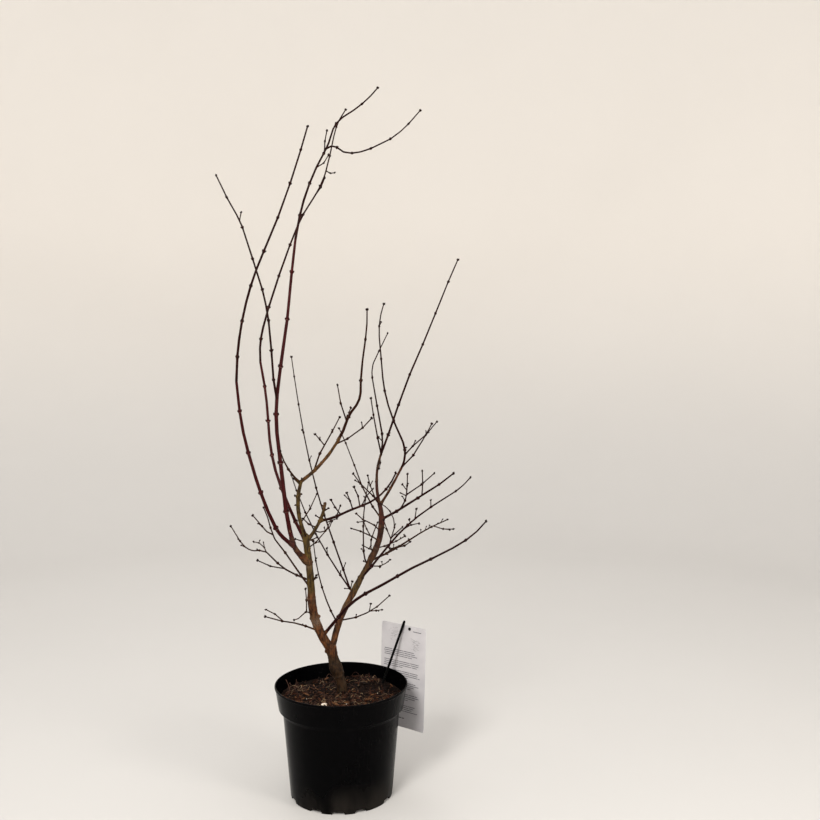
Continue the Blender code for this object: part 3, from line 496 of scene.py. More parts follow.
def tube(mass, points, radii, sides, tip_round=(30, 58, 78)):
    """A closed tube through the points with a rounded tip."""
    points = np.asarray(points, dtype=float)
    radii = np.asarray(radii, dtype=float)
    ways = unit(np.gradient(points, axis=0))
    rounds = np.radians(tip_round)
    foot, last, onward = points[0], points[-1], ways[-1] * radii[-1]
    points = np.vstack([points] + [last + onward * math.sin(angle) for angle in rounds])
    radii = np.concatenate([radii, [radii[-1] * math.cos(angle) for angle in rounds]])
    ways = np.vstack([ways] + [ways[-1:]] * len(rounds))
    side_ways = unit(np.cross(ways, np.linalg.svd(ways, full_matrices=False)[2][-1]))
    angles = np.arange(sides) * math.tau / sides
    around = np.cos(angles)[None, :, None] * side_ways[:, None, :]
    around = around + np.sin(angles)[None, :, None] * np.cross(ways, side_ways)[:, None, :]
    capped(mass, points[:, None, :] + around * radii[:, None, None], foot, last + onward)


def turned(mass, profile, sides, shape=None):
    """A closed form turned round Z from (radius, height) pairs that start and end on the axis.

    shape(points, angles) may move its points, which come ring by ring."""
    angles = np.arange(sides) * math.tau / sides
    radii, heights = np.array(profile[1:-1]).T[:, :, None]
    rings = np.stack([radii * np.cos(angles), radii * np.sin(angles), heights + 0 * angles], axis=-1)
    if shape:
        rings = shape(rings, angles)
    capped(mass, rings, (0, 0, profile[0][1]), (0, 0, profile[-1][1]))


# ---- Materials ----


class Look:
    """A material whose nodes work in the object's own coordinates."""

    def __init__(self, name, **sockets):
        self.material = bpy.data.materials.new(name)
        self.material.use_nodes = True
        self.tree = self.material.node_tree
        self.shader = self.tree.nodes["Principled BSDF"]
        for socket, value in sockets.items():
            self.shader.inputs[socket.replace("_", " ")].default_value = value
        self.place = self.node("ShaderNodeTexCoord").outputs["Object"]

    def node(self, kind, settings=None, **inputs):
        made = self.tree.nodes.new(kind)
        for key, value in (settings or {}).items():
            setattr(made, key, value)
        for key, value in inputs.items():
            self.give(made.inputs[key.replace("_", " ")], value)
        return made

    def give(self, socket, value):
        if isinstance(value, bpy.types.NodeSocket):
            self.tree.links.new(value, socket)
        else:
            socket.default_value = value

    def stretched(self, *scale):
        return self.node("ShaderNodeMapping", Vector=self.place, Scale=scale).outputs["Vector"]

    def noise(self, scale, detail=4, roughness=0.55, stretch=None):
        place = self.stretched(*stretch) if stretch else self.place
        made = self.node("ShaderNodeTexNoise", Vector=place, Scale=scale, Detail=detail, Roughness=roughness)
        return made.outputs["Fac"]

    def band(self, value, low, high, to_low=0, to_high=1):
        """The value between low and high, spread smoothly over another range."""
        made = self.node(
            "ShaderNodeMapRange", {"interpolation_type": "SMOOTHSTEP"}, Value=value,
            From_Min=low, From_Max=high, To_Min=to_low, To_Max=to_high,
        )
        return made.outputs["Result"]

    def mix(self, factor, one, other):
        made = self.node("ShaderNodeMix", {"data_type": "RGBA"})
        self.give(made.inputs[0], factor)
        for number, value in ((6, one), (7, other)):
            self.give(made.inputs[number], value if isinstance(value, bpy.types.NodeSocket) else (*value, 1))
        return made.outputs[2]

    def tones(self, value, low, high, one, other):
        return self.mix(self.band(value, low, high), one, other)

    def math(self, operation, one, other):
        made = self.node("ShaderNodeMath", {"operation": operation})
        self.give(made.inputs[0], one)
        self.give(made.inputs[1], other)
        return made.outputs[0]

    def times(self, one, other):
        return self.math("MULTIPLY", one, other)

    def attribute(self, name):
        return self.node("ShaderNodeAttribute", {"attribute_name": name}).outputs["Fac"]

    def height(self):
        return self.node("ShaderNodeSeparateXYZ", Vector=self.place).outputs["Z"]

    def colour(self, value):
        self.give(self.shader.inputs["Base Color"], value)

    def roughness(self, value, low, high):
        self.give(self.shader.inputs["Roughness"], self.band(value, 0.3, 0.7, low, high))

    def bump(self, *heights):
        """Adds up (height, strength, distance in metres) triples."""
        normal = None
        for height, strength, distance in heights:
            made = self.node("ShaderNodeBump", Height=height, Strength=strength, Distance=distance)
            if normal:
                self.give(made.inputs["Normal"], normal)
            normal = made.outputs["Normal"]
        self.give(self.shader.inputs["Normal"], normal)


def twig_look(name, colour, pale, rough):
    """Smooth young bark: fine streaks along the shoot, small pale pores and a dull bloom."""
    look = Look(name, Specular_IOR_Level=0.06)
    streaks = look.noise(700, 3, stretch=(1, 1, 0.12))
    bloom = look.noise(60, 3)
    pores = look.node("ShaderNodeTexVoronoi", Vector=look.stretched(1, 1, 0.45), Scale=420)
    pore = look.band(pores.outputs["Distance"], 0.12, 0.2, 1, 0)
    dark = tuple(0.62 * part for part in colour)
    mixed = look.tones(streaks, 0.35, 0.65, dark, colour)
    mixed = look.mix(look.band(bloom, 0.5, 0.78, 0, 0.55), mixed, pale)
    look.colour(look.mix(look.times(pore, 0.5), mixed, pale))
    look.roughness(streaks, rough - 0.08, rough + 0.14)
    look.bump((streaks, 0.35, 0.0002), (pore, 0.3, 0.00015))
    return look.material


def old_bark_look():
    """Brown bark that turns olive, red or pale by the mesh's own measures, damp and dark low down, and darkened
    by painted shade in its cracks.
    """
    look = Look("old_bark", Specular_IOR_Level=0.15)
    moss, young, low, pale, crack_shade = map(look.attribute, ("olive", "young", "low", "pale", "crack_shade"))
    streaks = look.noise(300, 5, 0.6, stretch=(1, 1, 0.16))
    patches = look.noise(45, 4, 0.6)
    mottle = look.noise(130, 4, 0.65, stretch=(1, 1, 0.6))
    grain = look.noise(1300, 3, 0.6)
    brown = look.tones(streaks, 0.34, 0.66, (0.017, 0.0055, 0.0022), (0.13, 0.044, 0.0125))
    olive = look.tones(streaks, 0.34, 0.66, (0.019, 0.0115, 0.003), (0.1, 0.06, 0.012))
    red = look.tones(streaks, 0.3, 0.7, (0.014, 0.0035, 0.0025), (0.06, 0.0135, 0.008))
    damp = look.tones(mottle, 0.4, 0.58, (0.006, 0.0034, 0.0016), (0.034, 0.017, 0.0068))
    damp = look.mix(look.times(look.band(patches, 0.54, 0.66), 0.35), damp, (0.06, 0.042, 0.024))
    base = brown
    for amount, tone in (
        (look.band(look.math("ADD", moss, look.times(patches, 0.5)), 0.45, 0.95), olive),
        (look.band(look.math("ADD", young, look.times(patches, 0.3)), 0.4, 0.9), red),
        (look.times(look.band(patches, 0.5, 0.64), 0.5), (0.11, 0.064, 0.03)),
        (look.times(look.band(mottle, 0.5, 0.62), 0.75), (0.013, 0.0065, 0.0035)),
        (look.times(low, 0.92), damp),
        (look.times(look.times(pale, look.band(grain, 0.3, 0.62)), 0.6), (0.24, 0.17, 0.12)),
        # painted shade: the bark is darkened in the cracks of its relief, where shade falls
        (look.times(crack_shade, 0.8), (0.014, 0.008, 0.005)),
    ):
        base = look.mix(amount, base, tone)
    look.colour(base)
    look.roughness(patches, 0.6, 0.85)
    look.bump((mottle, 0.5, 0.0015), (streaks, 0.6, 0.001), (grain, 0.4, 0.0003))
    return look.material


def speckled_look(name, colour, other, scale, rough=0.85, bump=0.001, **sockets):
    """A dull broken material: two tones in patches, with a coarse and a fine grain."""
    look = Look(name, **sockets)
    coarse = look.noise(scale, 5, 0.6)
    fine = look.noise(6 * scale, 3, 0.6)
    look.colour(look.tones(coarse, 0.35, 0.65, colour, other))
    look.roughness(fine, rough - 0.1, rough + 0.1)
    look.bump((coarse, 0.5, bump), (fine, 0.4, bump / 3))
    return look.material


def pot_look():
    """Near-black moulded plastic: glossy, scuffed in fine upright scratches, with dust low down."""
    look = Look("pot_plastic", Specular_IOR_Level=0.03)
    smears = look.noise(9, 4, 0.6, stretch=(1, 1, 0.35))
    scratches = look.noise(260, 3, 0.7, stretch=(1, 1, 0.03))
    grain = look.noise(1500, 2)
    dust = look.times(look.band(look.height(), 0.0, 0.06, 1, 0), look.band(smears, 0.4, 0.65))
    streak = look.times(look.band(scratches, 0.6, 0.8, 0, 0.5), look.band(smears, 0.45, 0.6))
    base = look.mix(streak, (0.0007, 0.0007, 0.0009), (0.004, 0.004, 0.004))
    look.colour(look.mix(look.times(dust, 0.3), base, (0.05, 0.042, 0.035)))
    rough = look.math("ADD", look.band(smears, 0.35, 0.7, 0.16, 0.3), look.times(dust, 0.3))
    look.give(look.shader.inputs["Roughness"], rough)
    look.bump((smears, 0.15, 0.002), (scratches, 0.1, 0.0002), (grain, 0.06, 0.0002))
    return look.material


def card_look():
    """Pale grey card with a faint mottle and a satin face."""
    look = Look("card_paper", Specular_IOR_Level=0.45)
    mottle = look.noise(40, 4)
    fibres = look.noise(900, 4, 0.7)
    look.colour(look.tones(mottle, 0.3, 0.7, (0.53, 0.515, 0.54), (0.58, 0.565, 0.585)))
    look.roughness(fibres, 0.38, 0.52)
    look.bump((fibres, 0.1, 0.0002), (mottle, 0.1, 0.001))
    return look.material


def stage_look():
    """Pale paint with painted shade on the floor and painted light up the wall, to even out the light that
    falls mostly on the floor.
    """
    look = Look("stage_paint", Roughness=0.9)
    wash = look.noise(1.3, 3)
    low = look.mix(wash, (0.56, 0.55, 0.54), (0.59, 0.58, 0.57))
    high = look.mix(wash, (0.79, 0.755, 0.715), (0.82, 0.785, 0.745))
    # painted shade and light: darker on the floor, lighter up the wall, by height
    look.colour(look.mix(look.band(look.height(), 0.0, 1.5), low, high))
    look.bump((look.noise(220, 3), 0.05, 0.001))
    return look.material


# ---- Limbs, by the rule of the solids ----


def between_marks(places, marks, points):
    """Points on the line through the given points, each of which lies at its mark."""
    return np.stack([np.interp(places, marks, points[:, axis]) for axis in range(3)], axis=-1)


class Limb:
    """A tapering limb whose path follows headings spread evenly from its foot to its tip.

    leans are degrees right of upright, seen from the front, and backs are degrees away from it."""

    def __init__(self, name, start, length, foot, tip, leans, backs, leaves_side=False):
        self.name = name
        self.length = length
        self.foot = foot
        self.tip = tip
        self.leaves_side = leaves_side
        self.thick = foot > THICK_FOOT
        middles = (np.arange(PATH_STEPS) + 0.5) / PATH_STEPS
        lean, back = (
            np.radians(np.interp(middles, np.linspace(0, 1, len(angles)), angles)) for angles in (leans, backs)
        )
        ways = np.stack([np.sin(lean) * np.cos(back), np.sin(back), np.cos(lean) * np.cos(back)], axis=1)
        steps = ways * length / PATH_STEPS
        self.path = np.array(start) + np.vstack([np.zeros(3), np.cumsum(steps, axis=0)])
        self.bends = None
        self.root_shift = np.zeros(3)

    def bend_at_nodes(self, limit):
        """Makes the drawn axis straight between nodes, where that stays within a limit of the path."""
        marks = [0, *(round(node * PATH_STEPS) for node in self.nodes()), PATH_STEPS]
        bends = {0}
        for start, end in zip(marks, marks[1:]):
            bends |= self.bends_between(start, end, limit)
        self.bends = np.array(sorted(bends))

    def bends_between(self, start, end, limit):
        if end - start < 2:
            return {end}
        chord = self.path[end] - self.path[start]
        from_start = self.path[start:end + 1] - self.path[start]
        away = np.linalg.norm(np.cross(from_start, chord), axis=1) / np.linalg.norm(chord)
        furthest = start + int(away.argmax())
        if away.max() < limit or furthest in (start, end):
            return {end}
        return self.bends_between(start, furthest, limit) | self.bends_between(furthest, end, limit)

    def points(self, shares):
        return between_marks(shares, np.linspace(0, 1, PATH_STEPS + 1), self.path)

    def drawn(self, shares):
        """The axis as it is drawn: bent at its nodes, from the drawn axis of the limb that carries it."""
        shares = np.asarray(shares, dtype=float)
        if self.bends is None:
            return self.points(shares)
        corner = CORNER / self.length
        bent = self.path[self.bends]
        made = sum(
            between_marks(np.clip(shares + shift, 0, 1) * PATH_STEPS, self.bends, bent)
            for shift in (-corner, 0, corner)
        )
        fading = np.clip(1 - shares * self.length / ROOT_FADE, 0, 1)
        return made / 3 + fading[..., None] * self.root_shift

    def at(self, share):
        return Vector(self.points(share))

    def heading(self, share):
        before, after = max(share - HEADING_REACH, 0), min(share + HEADING_REACH, 1)
        return (self.at(after) - self.at(before)).normalized()

    def nodes(self):
        """Shares of the length at which a pair of buds swells the limb: further apart on a thick limb."""
        count = round(self.length / (SHORTEST_INTERNODE + INTERNODE_PER_THICKNESS * 2 * self.foot))
        return [(number + 0.7) / (count + 0.4) for number in range(count)]

    def bumps(self, shares, half):
        """How near each share is to a node: one at a node, fading over the half width."""
        near = np.zeros(len(shares))
        for node in self.nodes():
            near += np.exp(-((shares - node) * self.length / half) ** 2)
        return near

    def shares(self, spacing, least=8):
        return np.linspace(0, 1, max(least, round(self.length / spacing)))

    def taper(self, share):
        return self.foot + (self.tip - self.foot) * share

    def girth(self, share):
        """Half the thickness of old wood as drawn."""
        if self.name not in SWELLINGS:
            return self.radius(share)
        return self.taper(share) * np.interp(share, *zip(*SWELLINGS[self.name]))

    def radius(self, share):
        """Half the thickness: an even taper, with a collar where the limb leaves another's side."""
        if not self.leaves_side:
            return self.taper(share)
        reach = share * self.length / (COLLAR_REACH * self.foot)
        return self.taper(share) * (1 + COLLAR_SWELLING * np.exp(-reach * reach))


# Limbs by name, the limb that carries each and where, the mass of each, and the limbs of each mass.
LIMBS = {}
ON = {}
MASS_OF = {}
MASSES = {}


def keep(limb, mass, on, at):
    LIMBS[limb.name] = limb
    ON[limb.name] = (on, at)
    MASS_OF[limb.name] = mass
    MASSES.setdefault(mass, []).append(limb)


def numbers(text):
    return [float(word) for word in text.split()]


def add_limbs(rows):
    for row in rows.strip().split("\n"):
        first, on, row = row.split(" ", 2)
        (at, length, foot, tip), leans, backs = map(numbers, row.split("/"))
        name = first.strip("+") if first[0] != "@" and first != "+" else f"twig_{len(LIMBS)}"
        mass = MASS_OF[on] if first[0] == "+" else first.strip("@")
        start = LIMBS[on].at(at) if on in LIMBS else TRUNK_FOOT
        leaves_side = on in LIMBS and at < 1
        limb = Limb(name, start, length * MM, foot / 2 * MM, tip / 2 * MM, leans, backs, leaves_side)
        keep(limb, mass, on, at)


def clearance(one, other):
    """How far apart two limbs' surfaces are."""
    between = np.linalg.norm(one.path[:, None, :] - other.path[None, :, :], axis=2)
    row, column = np.unravel_index(between.argmin(), between.shape)
    thick = one.radius(row / PATH_STEPS) + other.radius(column / PATH_STEPS)
    return between.min() - thick * (1 + NODE_SWELLING / 2)


def side_shoot(name, limb, share, turn, long, thick):
    """A short straight limb that leaves another forwards, outwards and upwards."""
    forward = limb.heading(share)
    sideways = forward.orthogonal().normalized()
    sideways.rotate(turned_by(turn, forward))
    way = forward * SPUR_WAY["forward"] + sideways * SPUR_WAY["sideways"] + Vector((0, 0, SPUR_WAY["upward"]))
    way.normalize()
    lean = math.degrees(math.atan2(way.x, way.z))
    back = math.degrees(math.asin(way.y))
    return Limb(name, limb.at(share), long, thick, thick, (lean,), (back,))


def side_shoots(kind, seed, chance, lengths, thick, clear, bushy=()):
    """Short shoots at some nodes of each mass, by the solids' own seeded rule: none towards the top,
    and most on the bushy limbs."""
    for mass, limbs in MASSES.items():
        rule = random.Random(seed + mass)
        if len(limbs) == 1 and limbs[0].foot > BOUGH_FOOT:
            continue
        for limb in list(limbs):
            often = 2 if limb.name in bushy else 1
            shares = limb.nodes()
            if often == 2:
                shares = np.linspace(*BUSHY_STRETCH, max(3, round(limb.length / SHOOT_SPACING_ON_BUSHY)))
            for share in shares:
                turn = rule.uniform(0, math.tau)
                long = rule.uniform(*lengths) * MM
                low = min(max((SPUR_TOP - limb.at(share).z) / SPUR_FADE, 0), 1)
                if rule.random() > chance * often * low or share > NEAR_TIP:
                    continue
                shoot = side_shoot(f"{kind}_{len(LIMBS)}", limb, share, turn, long, thick * MM)
                if min(clearance(shoot, other) for other in LIMBS.values() if other is not limb) > clear * MM:
                    keep(shoot, mass, limb.name, share)


def settle_axes():
    """Bends every young limb at its nodes, and sets the feet of its side limbs on its drawn axis."""
    for name, limb in LIMBS.items():
        on, at = ON[name]
        if on in LIMBS:
            limb.root_shift = LIMBS[on].drawn(at) - LIMBS[on].points(at)
        if name not in OLD:
            limb.bend_at_nodes(KINK_ON_WHIP if limb.thick else KINK)


# ---- Old wood: one skin with the bark's relief ----


def old_wood_skin():
    """The thick limbs, with a collar at the foot of each limb that leaves them, as one closed skin."""
    mass = Mass()
    for limb in map(LIMBS.get, OLD):
        shares = limb.shares(3 * MM)
        tube(mass, limb.points(shares), limb.girth(shares) + SKIN_FULLER, 24)
    for name, limb in LIMBS.items():
        carrier = ON[name][0]
        if name in OLD or carrier not in OLD:
            continue
        reach = min((COLLAR_STUB * 2 * limb.foot + LIMBS[carrier].foot) / limb.length, 1)
        shares = np.linspace(0, reach, 14)
        swell = COLLAR_AT_FOOT - COLLAR_FADES * (shares / reach) ** 0.6
        tube(mass, limb.drawn(shares), limb.radius(shares) * swell + COLLAR_FULLER, 14)
    for row in KNOT_ROWS.strip().split("\n"):
        on, row = row.split(" ", 1)
        for at, proud, thick, lean, back in map(numbers, row.split("/")):
            wide = thick / 2 * MM
            length = max(LIMBS[on].girth(at) + proud * MM - wide, 1.5 * MM)
            stub = Limb("knot", LIMBS[on].at(at), length, 1.4 * wide, wide, (lean,), (back,))
            shares = np.linspace(0, 1, 6)
            tube(mass, stub.points(shares), stub.radius(shares), 14)
    obj = mass.object("old_wood_bark")
    remesh = obj.modifiers.new("skin", "REMESH")
    remesh.mode = "VOXEL"
    remesh.voxel_size = VOXEL
    smooth = obj.modifiers.new("smooth", "SMOOTH")
    smooth.factor = 0.5
    smooth.iterations = SMOOTHINGS
    graph = bpy.context.evaluated_depsgraph_get()
    obj.data = bpy.data.meshes.new_from_object(obj.evaluated_get(graph))
    obj.modifiers.clear()
    return obj


def read(items, key, kind, wide):
    values = np.empty(len(items) * wide, dtype=kind)
    items.foreach_get(key, values)
    return values.reshape(-1, wide)


def spread(values, edges, times):
    """Evens out values that the points of a mesh carry, over its edges."""
    count = len(values)
    links = np.bincount(edges.ravel(), minlength=count)
    for _ in range(times):
        total = np.bincount(edges[:, 0], values[edges[:, 1]], count)
        total += np.bincount(edges[:, 1], values[edges[:, 0]], count)
        values = 0.5 * values + 0.5 * total / np.maximum(links, 1)
    return values


def spots_on(limb, shares, spots):
    """How near each share is to the spots on the limb."""
    near = np.zeros(len(shares))
    for on, at, reach in spots:
        if on == limb.name:
            near += np.exp(-((shares - at) * limb.length / (reach * MM)) ** 2)
    return near


def old_wood_axes():
    """Points along the old limbs with what the bark takes from the nearest of them: half the thickness,
    the way from the foot, and how olive, pale, young and ringed it is, and a seed."""
    rows = []
    for number, (name, (olive, young_foot, young_tip)) in enumerate(OLD.items()):
        limb = LIMBS[name]
        shares = limb.shares(1.5 * MM)
        rows.append(np.column_stack([
            limb.points(shares), limb.girth(shares), shares * limb.length,
            olive + spots_on(limb, shares, OLIVE_SPOTS), spots_on(limb, shares, PALE_SPOTS),
            young_foot + (young_tip - young_foot) * shares, limb.bumps(shares, RING_HALF),
            np.full(len(shares), number * 7.3),
        ]))
    rows = np.vstack(rows)
    return rows[:, :3], rows[:, 3:]


def bark_noises(offset, way, seed):
    around = Vector(offset)
    return [
        noise.noise(around * dense + Vector((x * seed, y * seed, way / reach)))
        for dense, x, y, reach in BARK_NOISES
    ]


def flare(points, above):
    """Spreads the trunk's foot outwards in lobes."""
    near = above < 5 * FLARE_HEIGHT
    trunk = LIMBS["trunk"]
    out = points[near] - trunk.points(np.clip(above[near] / trunk.length, 0, 1))
    out[:, 2] = 0
    lobes = 1 - LOBE_DEPTH * (1 - np.cos(FLARE_LOBES * np.arctan2(out[:, 1], out[:, 0])))
    amount = FLARE * lobes * np.exp(-np.maximum(above[near], 0) / FLARE_HEIGHT)
    points[near] += unit(out) * amount[:, None]


def old_wood():
    obj = old_wood_skin()
    mesh = obj.data
    points = read(mesh.vertices, "co", float, 3)
    normals = read(mesh.vertices, "normal", float, 3)
    edges = read(mesh.edges, "vertices", int, 2)
    axis, carried = old_wood_axes()
    nearest = [
        (np.linalg.norm(points[first:first + 4000, None] - axis[None], axis=2) / carried[:, 0]).argmin(axis=1)
        for first in range(0, len(points), 4000)
    ]
    nearest = np.concatenate(nearest)
    thick, along, olive, pale, young, ringed, seed = carried[nearest].T
    offset = (points - axis[nearest]) / thick[:, None]
    broad, coarse, across, fine = np.array([*map(bark_noises, offset, along / MM, seed)]).T

    share = np.clip(thick / FULL_RELIEF_AT, *RELIEF_RANGE)
    cracks = np.clip(1 - np.abs(coarse) / CRACK_WIDTH, 0, 1)
    wrinkles = np.clip(broad + 0.15, 0, 1) * across
    parts = zip(RELIEF.values(), (coarse, wrinkles, fine, cracks, ringed))
    relief = (0.24 - 0.016 * thick / MM) * thick * broad + share * MM * sum(high * part for high, part in parts)
    points = points + normals * spread(relief, edges, 2)[:, None]
    above = points[:, 2] - SOIL_LEVEL
    flare(points, above)
    mesh.vertices.foreach_set("co", points.ravel())
    mesh.update()
    mesh.shade_smooth()
    measures = {
        "olive": spread(olive, edges, 12),
        "young": spread(young, edges, 25),
        "pale": spread(np.clip(pale + 0.35 * ringed, 0, 1), edges, 3),
        "low": np.clip((DAMP_TOP - above) / DAMP_FADE, 0, 1),
        # painted shade: how deep in a crack of the relief each point lies, which darkens the bark there
        "crack_shade": np.clip(cracks * 0.8 - fine, 0, 1),
    }
    for name, values in measures.items():
        mesh.attributes.new(name, "FLOAT", "POINT").data.foreach_set("value", values)
    piece(obj, old_bark_look(), "old_bark", *OLD)


# ---- Twigs, node rings and buds ----


def bud_template():
    mass = Mass()
    turned(mass, BUD_PROFILE, BUD_SIDES)
    return mass.joined()


BUD = bud_template()


def add_bud(mass, place, way, length, wide):
    way = way.normalized()
    side = way.orthogonal().normalized()
    points, quads, triangles = BUD
    basis = np.array([side * wide, way.cross(side) * wide * 0.85, way * length])
    mass.add(np.array(place) + points @ basis, quads, triangles)


def sample_shares(limb):
    """Shares along the limb, closer together at its nodes."""
    count = max(3, round(limb.length / ((3.5 if limb.thick else 4.5) * MM)))
    made = [np.linspace(0, 1, count + 1)] + [node + KNOB_OFFSETS / limb.length for node in limb.nodes()]
    shares = np.unique(np.clip(np.concatenate(made), 0, 1))
    return shares[np.diff(shares, prepend=-1) * limb.length > 0.35 * MM]


def grow(limb, twigs, rings, buds, rule):
    """The limb's own tube, swollen at its nodes, with its pairs of buds and, on a thick whip, pale rings."""
    thick = limb.thick
    shares = sample_shares(limb)
    marks = np.arange(0, len(shares) + 3, 3)
    wobble = np.interp(np.arange(len(shares)), marks, [rule.uniform(-1, 1) for _ in marks])
    swollen = 1 + (KNOB_ON_WHIP if thick else KNOB_ON_TWIG) * limb.bumps(shares, KNOB_HALF)
    radii = (limb.radius(shares) + DRAWN_FULLER) * (1 + 0.035 * wobble) * swollen
    tube(twigs, limb.drawn(shares), radii, 14 if thick else 9)
    side = limb.heading(0.5).cross(Vector((0, 1, 0))).normalized()
    for number, node in enumerate(limb.nodes()):
        forward = limb.heading(node)
        place = Vector(limb.drawn(node))
        wide = limb.radius(node)
        out = (side - forward * side.dot(forward)).normalized()
        turn = math.pi / 4 + (number + 1) * math.pi / 2
        out.rotate(turned_by(turn + rule.uniform(-0.4, 0.4), forward))
        for sign in (1, -1):
            way = forward * 0.9 + out * ((0.8 if thick else 0.5) * sign)
            start = place + out * (sign * wide * 0.8) - forward * (0.7 * MM)
            size = rule.uniform(0.85, 1.15)
            sizes = [(least + share * wide) * size for least, share in (BUD_LENGTH, BUD_WIDTH)]
            add_bud(buds, start, way, *sizes)
        for shift, fuller in NODE_RINGS if thick else ():
            middle = Vector(limb.drawn(node + shift / limb.length))
            around = wide * fuller
            way = forward * (0.45 * MM)
            radii = [around * 0.97, around + 0.12 * MM, around * 0.97]
            tube(rings, [middle - way, middle, middle + way], radii, 14, tip_round=())
    if limb.tip < 1.6 * MM:
        end = Vector(limb.drawn(1))
        forward = limb.heading(1)
        out = forward.orthogonal().normalized()
        out.rotate(turned_by(rule.uniform(0, math.tau), forward))
        for sign in (1, -1):
            size = rule.uniform(0.9, 1.15) * (0.72 if limb.length < SHORT_SPUR else 1)
            start = end + out * (sign * 0.6 * MM) - forward * (1.2 * MM)
            way = forward + out * (0.2 * sign)
            add_bud(buds, start, way, 4.4 * MM * size, (1.1 * MM + 0.8 * limb.tip) * size)


def twigs_and_buds():
    rings = Mass()
    buds = Mass()
    for group, (masses, colour, pale, rough) in GROUPS.items():
        masses = masses.split()
        twigs = Mass()
        for mass in masses:
            rule = random.Random("grow " + mass)
            for limb in MASSES[mass]:
                grow(limb, twigs, rings, buds, rule)
        slot = "red_bark" if group == "maroon" else "twigs"
        twigs.piece(f"twigs_{group}", twig_look(group + "_shoots", colour, pale, rough), slot, *masses)
    bud_tones = (0.005, 0.0014, 0.0012), (0.013, 0.0036, 0.0028)
    bud_look = speckled_look("bud_scales", *bud_tones, 500, 0.5, 0.0002, Specular_IOR_Level=0.08)
    ring_look = speckled_look("node_ring", (0.2, 0.12, 0.09), (0.11, 0.05, 0.04), 400, 0.65, 0.0002)
    buds.piece("buds", bud_look, "twigs")
    rings.piece("node_rings", ring_look, "red_bark")


# ---- Pot ----


def between(low, high, steps):
    """Points between two points of a profile, without its ends."""
    low, high = np.array(low), np.array(high)
    return [tuple(low + (high - low) * step / steps) for step in range(1, steps)]


def arc(centre, radius, start, stop, steps):
    angles = np.radians(start + (stop - start) * np.arange(steps + 1) / steps)
    return [(centre[0] + radius * math.cos(angle), centre[1] + radius * math.sin(angle)) for angle in angles]


def pot_profile():
    under_floor = FLOOR_HEIGHT - FLOOR_THICKNESS
    skirt = BASE_RADIUS - SKIRT_THICKNESS
    inner_rim = RIM_RADIUS - RIM_LIP
    inner_collar = (COLLAR_FOOT_RADIUS - WALL_THICKNESS, COLLAR_FOOT_HEIGHT + MM)
    foot = (BASE_RADIUS, 1.5 * MM)
    wall_top = (WALL_TOP_RADIUS + 0.2 * MM, COLLAR_FOOT_HEIGHT - 4 * MM)
    under_bead = (RIM_RADIUS - 1.4 * MM, POT_HEIGHT - RIM_BEAD)
    return [
        (0, 0), (FOOT_PAD_RADIUS - MM, 0), (FOOT_PAD_RADIUS, 0.4 * MM), (FOOT_PAD_RADIUS + 2 * MM, under_floor),
        (skirt - MM, under_floor), (skirt, 0.4 * MM), (skirt + 0.5 * MM, 0),
        (BASE_RADIUS - MM, 0), (BASE_RADIUS - 0.3 * MM, 0.5 * MM), foot,
        *between(foot, wall_top, 16),
        *arc((wall_top[0] + 1.4 * MM, wall_top[1]), 1.4 * MM, 180, 110, 3),
        *between((wall_top[0] + MM, wall_top[1] + 1.4 * MM), (COLLAR_FOOT_RADIUS, COLLAR_FOOT_HEIGHT), 4),
        *arc((COLLAR_FOOT_RADIUS - 1.2 * MM, COLLAR_FOOT_HEIGHT + 0.6 * MM), 1.2 * MM, -50, 8, 4),
        *between((COLLAR_FOOT_RADIUS, COLLAR_FOOT_HEIGHT), under_bead, 7),
        *arc((under_bead[0], under_bead[1] + 1.4 * MM), 1.4 * MM, -80, 0, 4),
        *arc((RIM_RADIUS - 1.3 * MM, POT_HEIGHT - 1.3 * MM), 1.3 * MM, 0, 90, 6),
        *arc((inner_rim + 0.9 * MM, POT_HEIGHT - 0.9 * MM), 0.9 * MM, 90, 180, 5),
        *between((inner_rim, POT_HEIGHT - MM), inner_collar, 5),
        inner_collar, (WALL_TOP_RADIUS - WALL_THICKNESS, WALL_TOP_HEIGHT + MM),
        (BASE_RADIUS - WALL_THICKNESS, FLOOR_HEIGHT), (0, FLOOR_HEIGHT),
    ]


def notched(rings, angles):
    """Cuts the notches round the pot's foot, and makes its wall a little out of round."""
    height = rings[..., 2]
    notches = np.radians([90 * quarter + turn for quarter in range(4) for turn in NOTCH_TURNS])
    away = np.abs((angles[:, None] - notches[None, :] + math.pi) % math.tau - math.pi)
    in_notch = away.min(axis=1) < FOOT_NOTCH_WIDTH / 2 / BASE_RADIUS
    skirt = np.linalg.norm(rings[:, 0, :2], axis=1) > BASE_RADIUS - SKIRT_THICKNESS - 0.5 * MM
    low = (height < FOOT_NOTCH_HEIGHT) & in_notch[None, :] & skirt[:, None]
    rings[..., 2] = np.where(low, FOOT_NOTCH_HEIGHT, height)
    out = np.hypot(rings[..., 0], rings[..., 1])
    waver = 1 + OUT_OF_ROUND * np.sin(2 * angles + 0.6)[None, :] * (height / POT_HEIGHT)
    rings[..., :2] *= np.where(out > FOOT_PAD_RADIUS + 3 * MM, waver, 1)[..., None]
    return rings


def pot():
    mass = Mass()
    turned(mass, pot_profile(), POT_SIDES, notched)
    mass.piece("pot_shell", pot_look(), "pot_plastic", "pot", sharp_degrees=38)


# ---- Compost ----


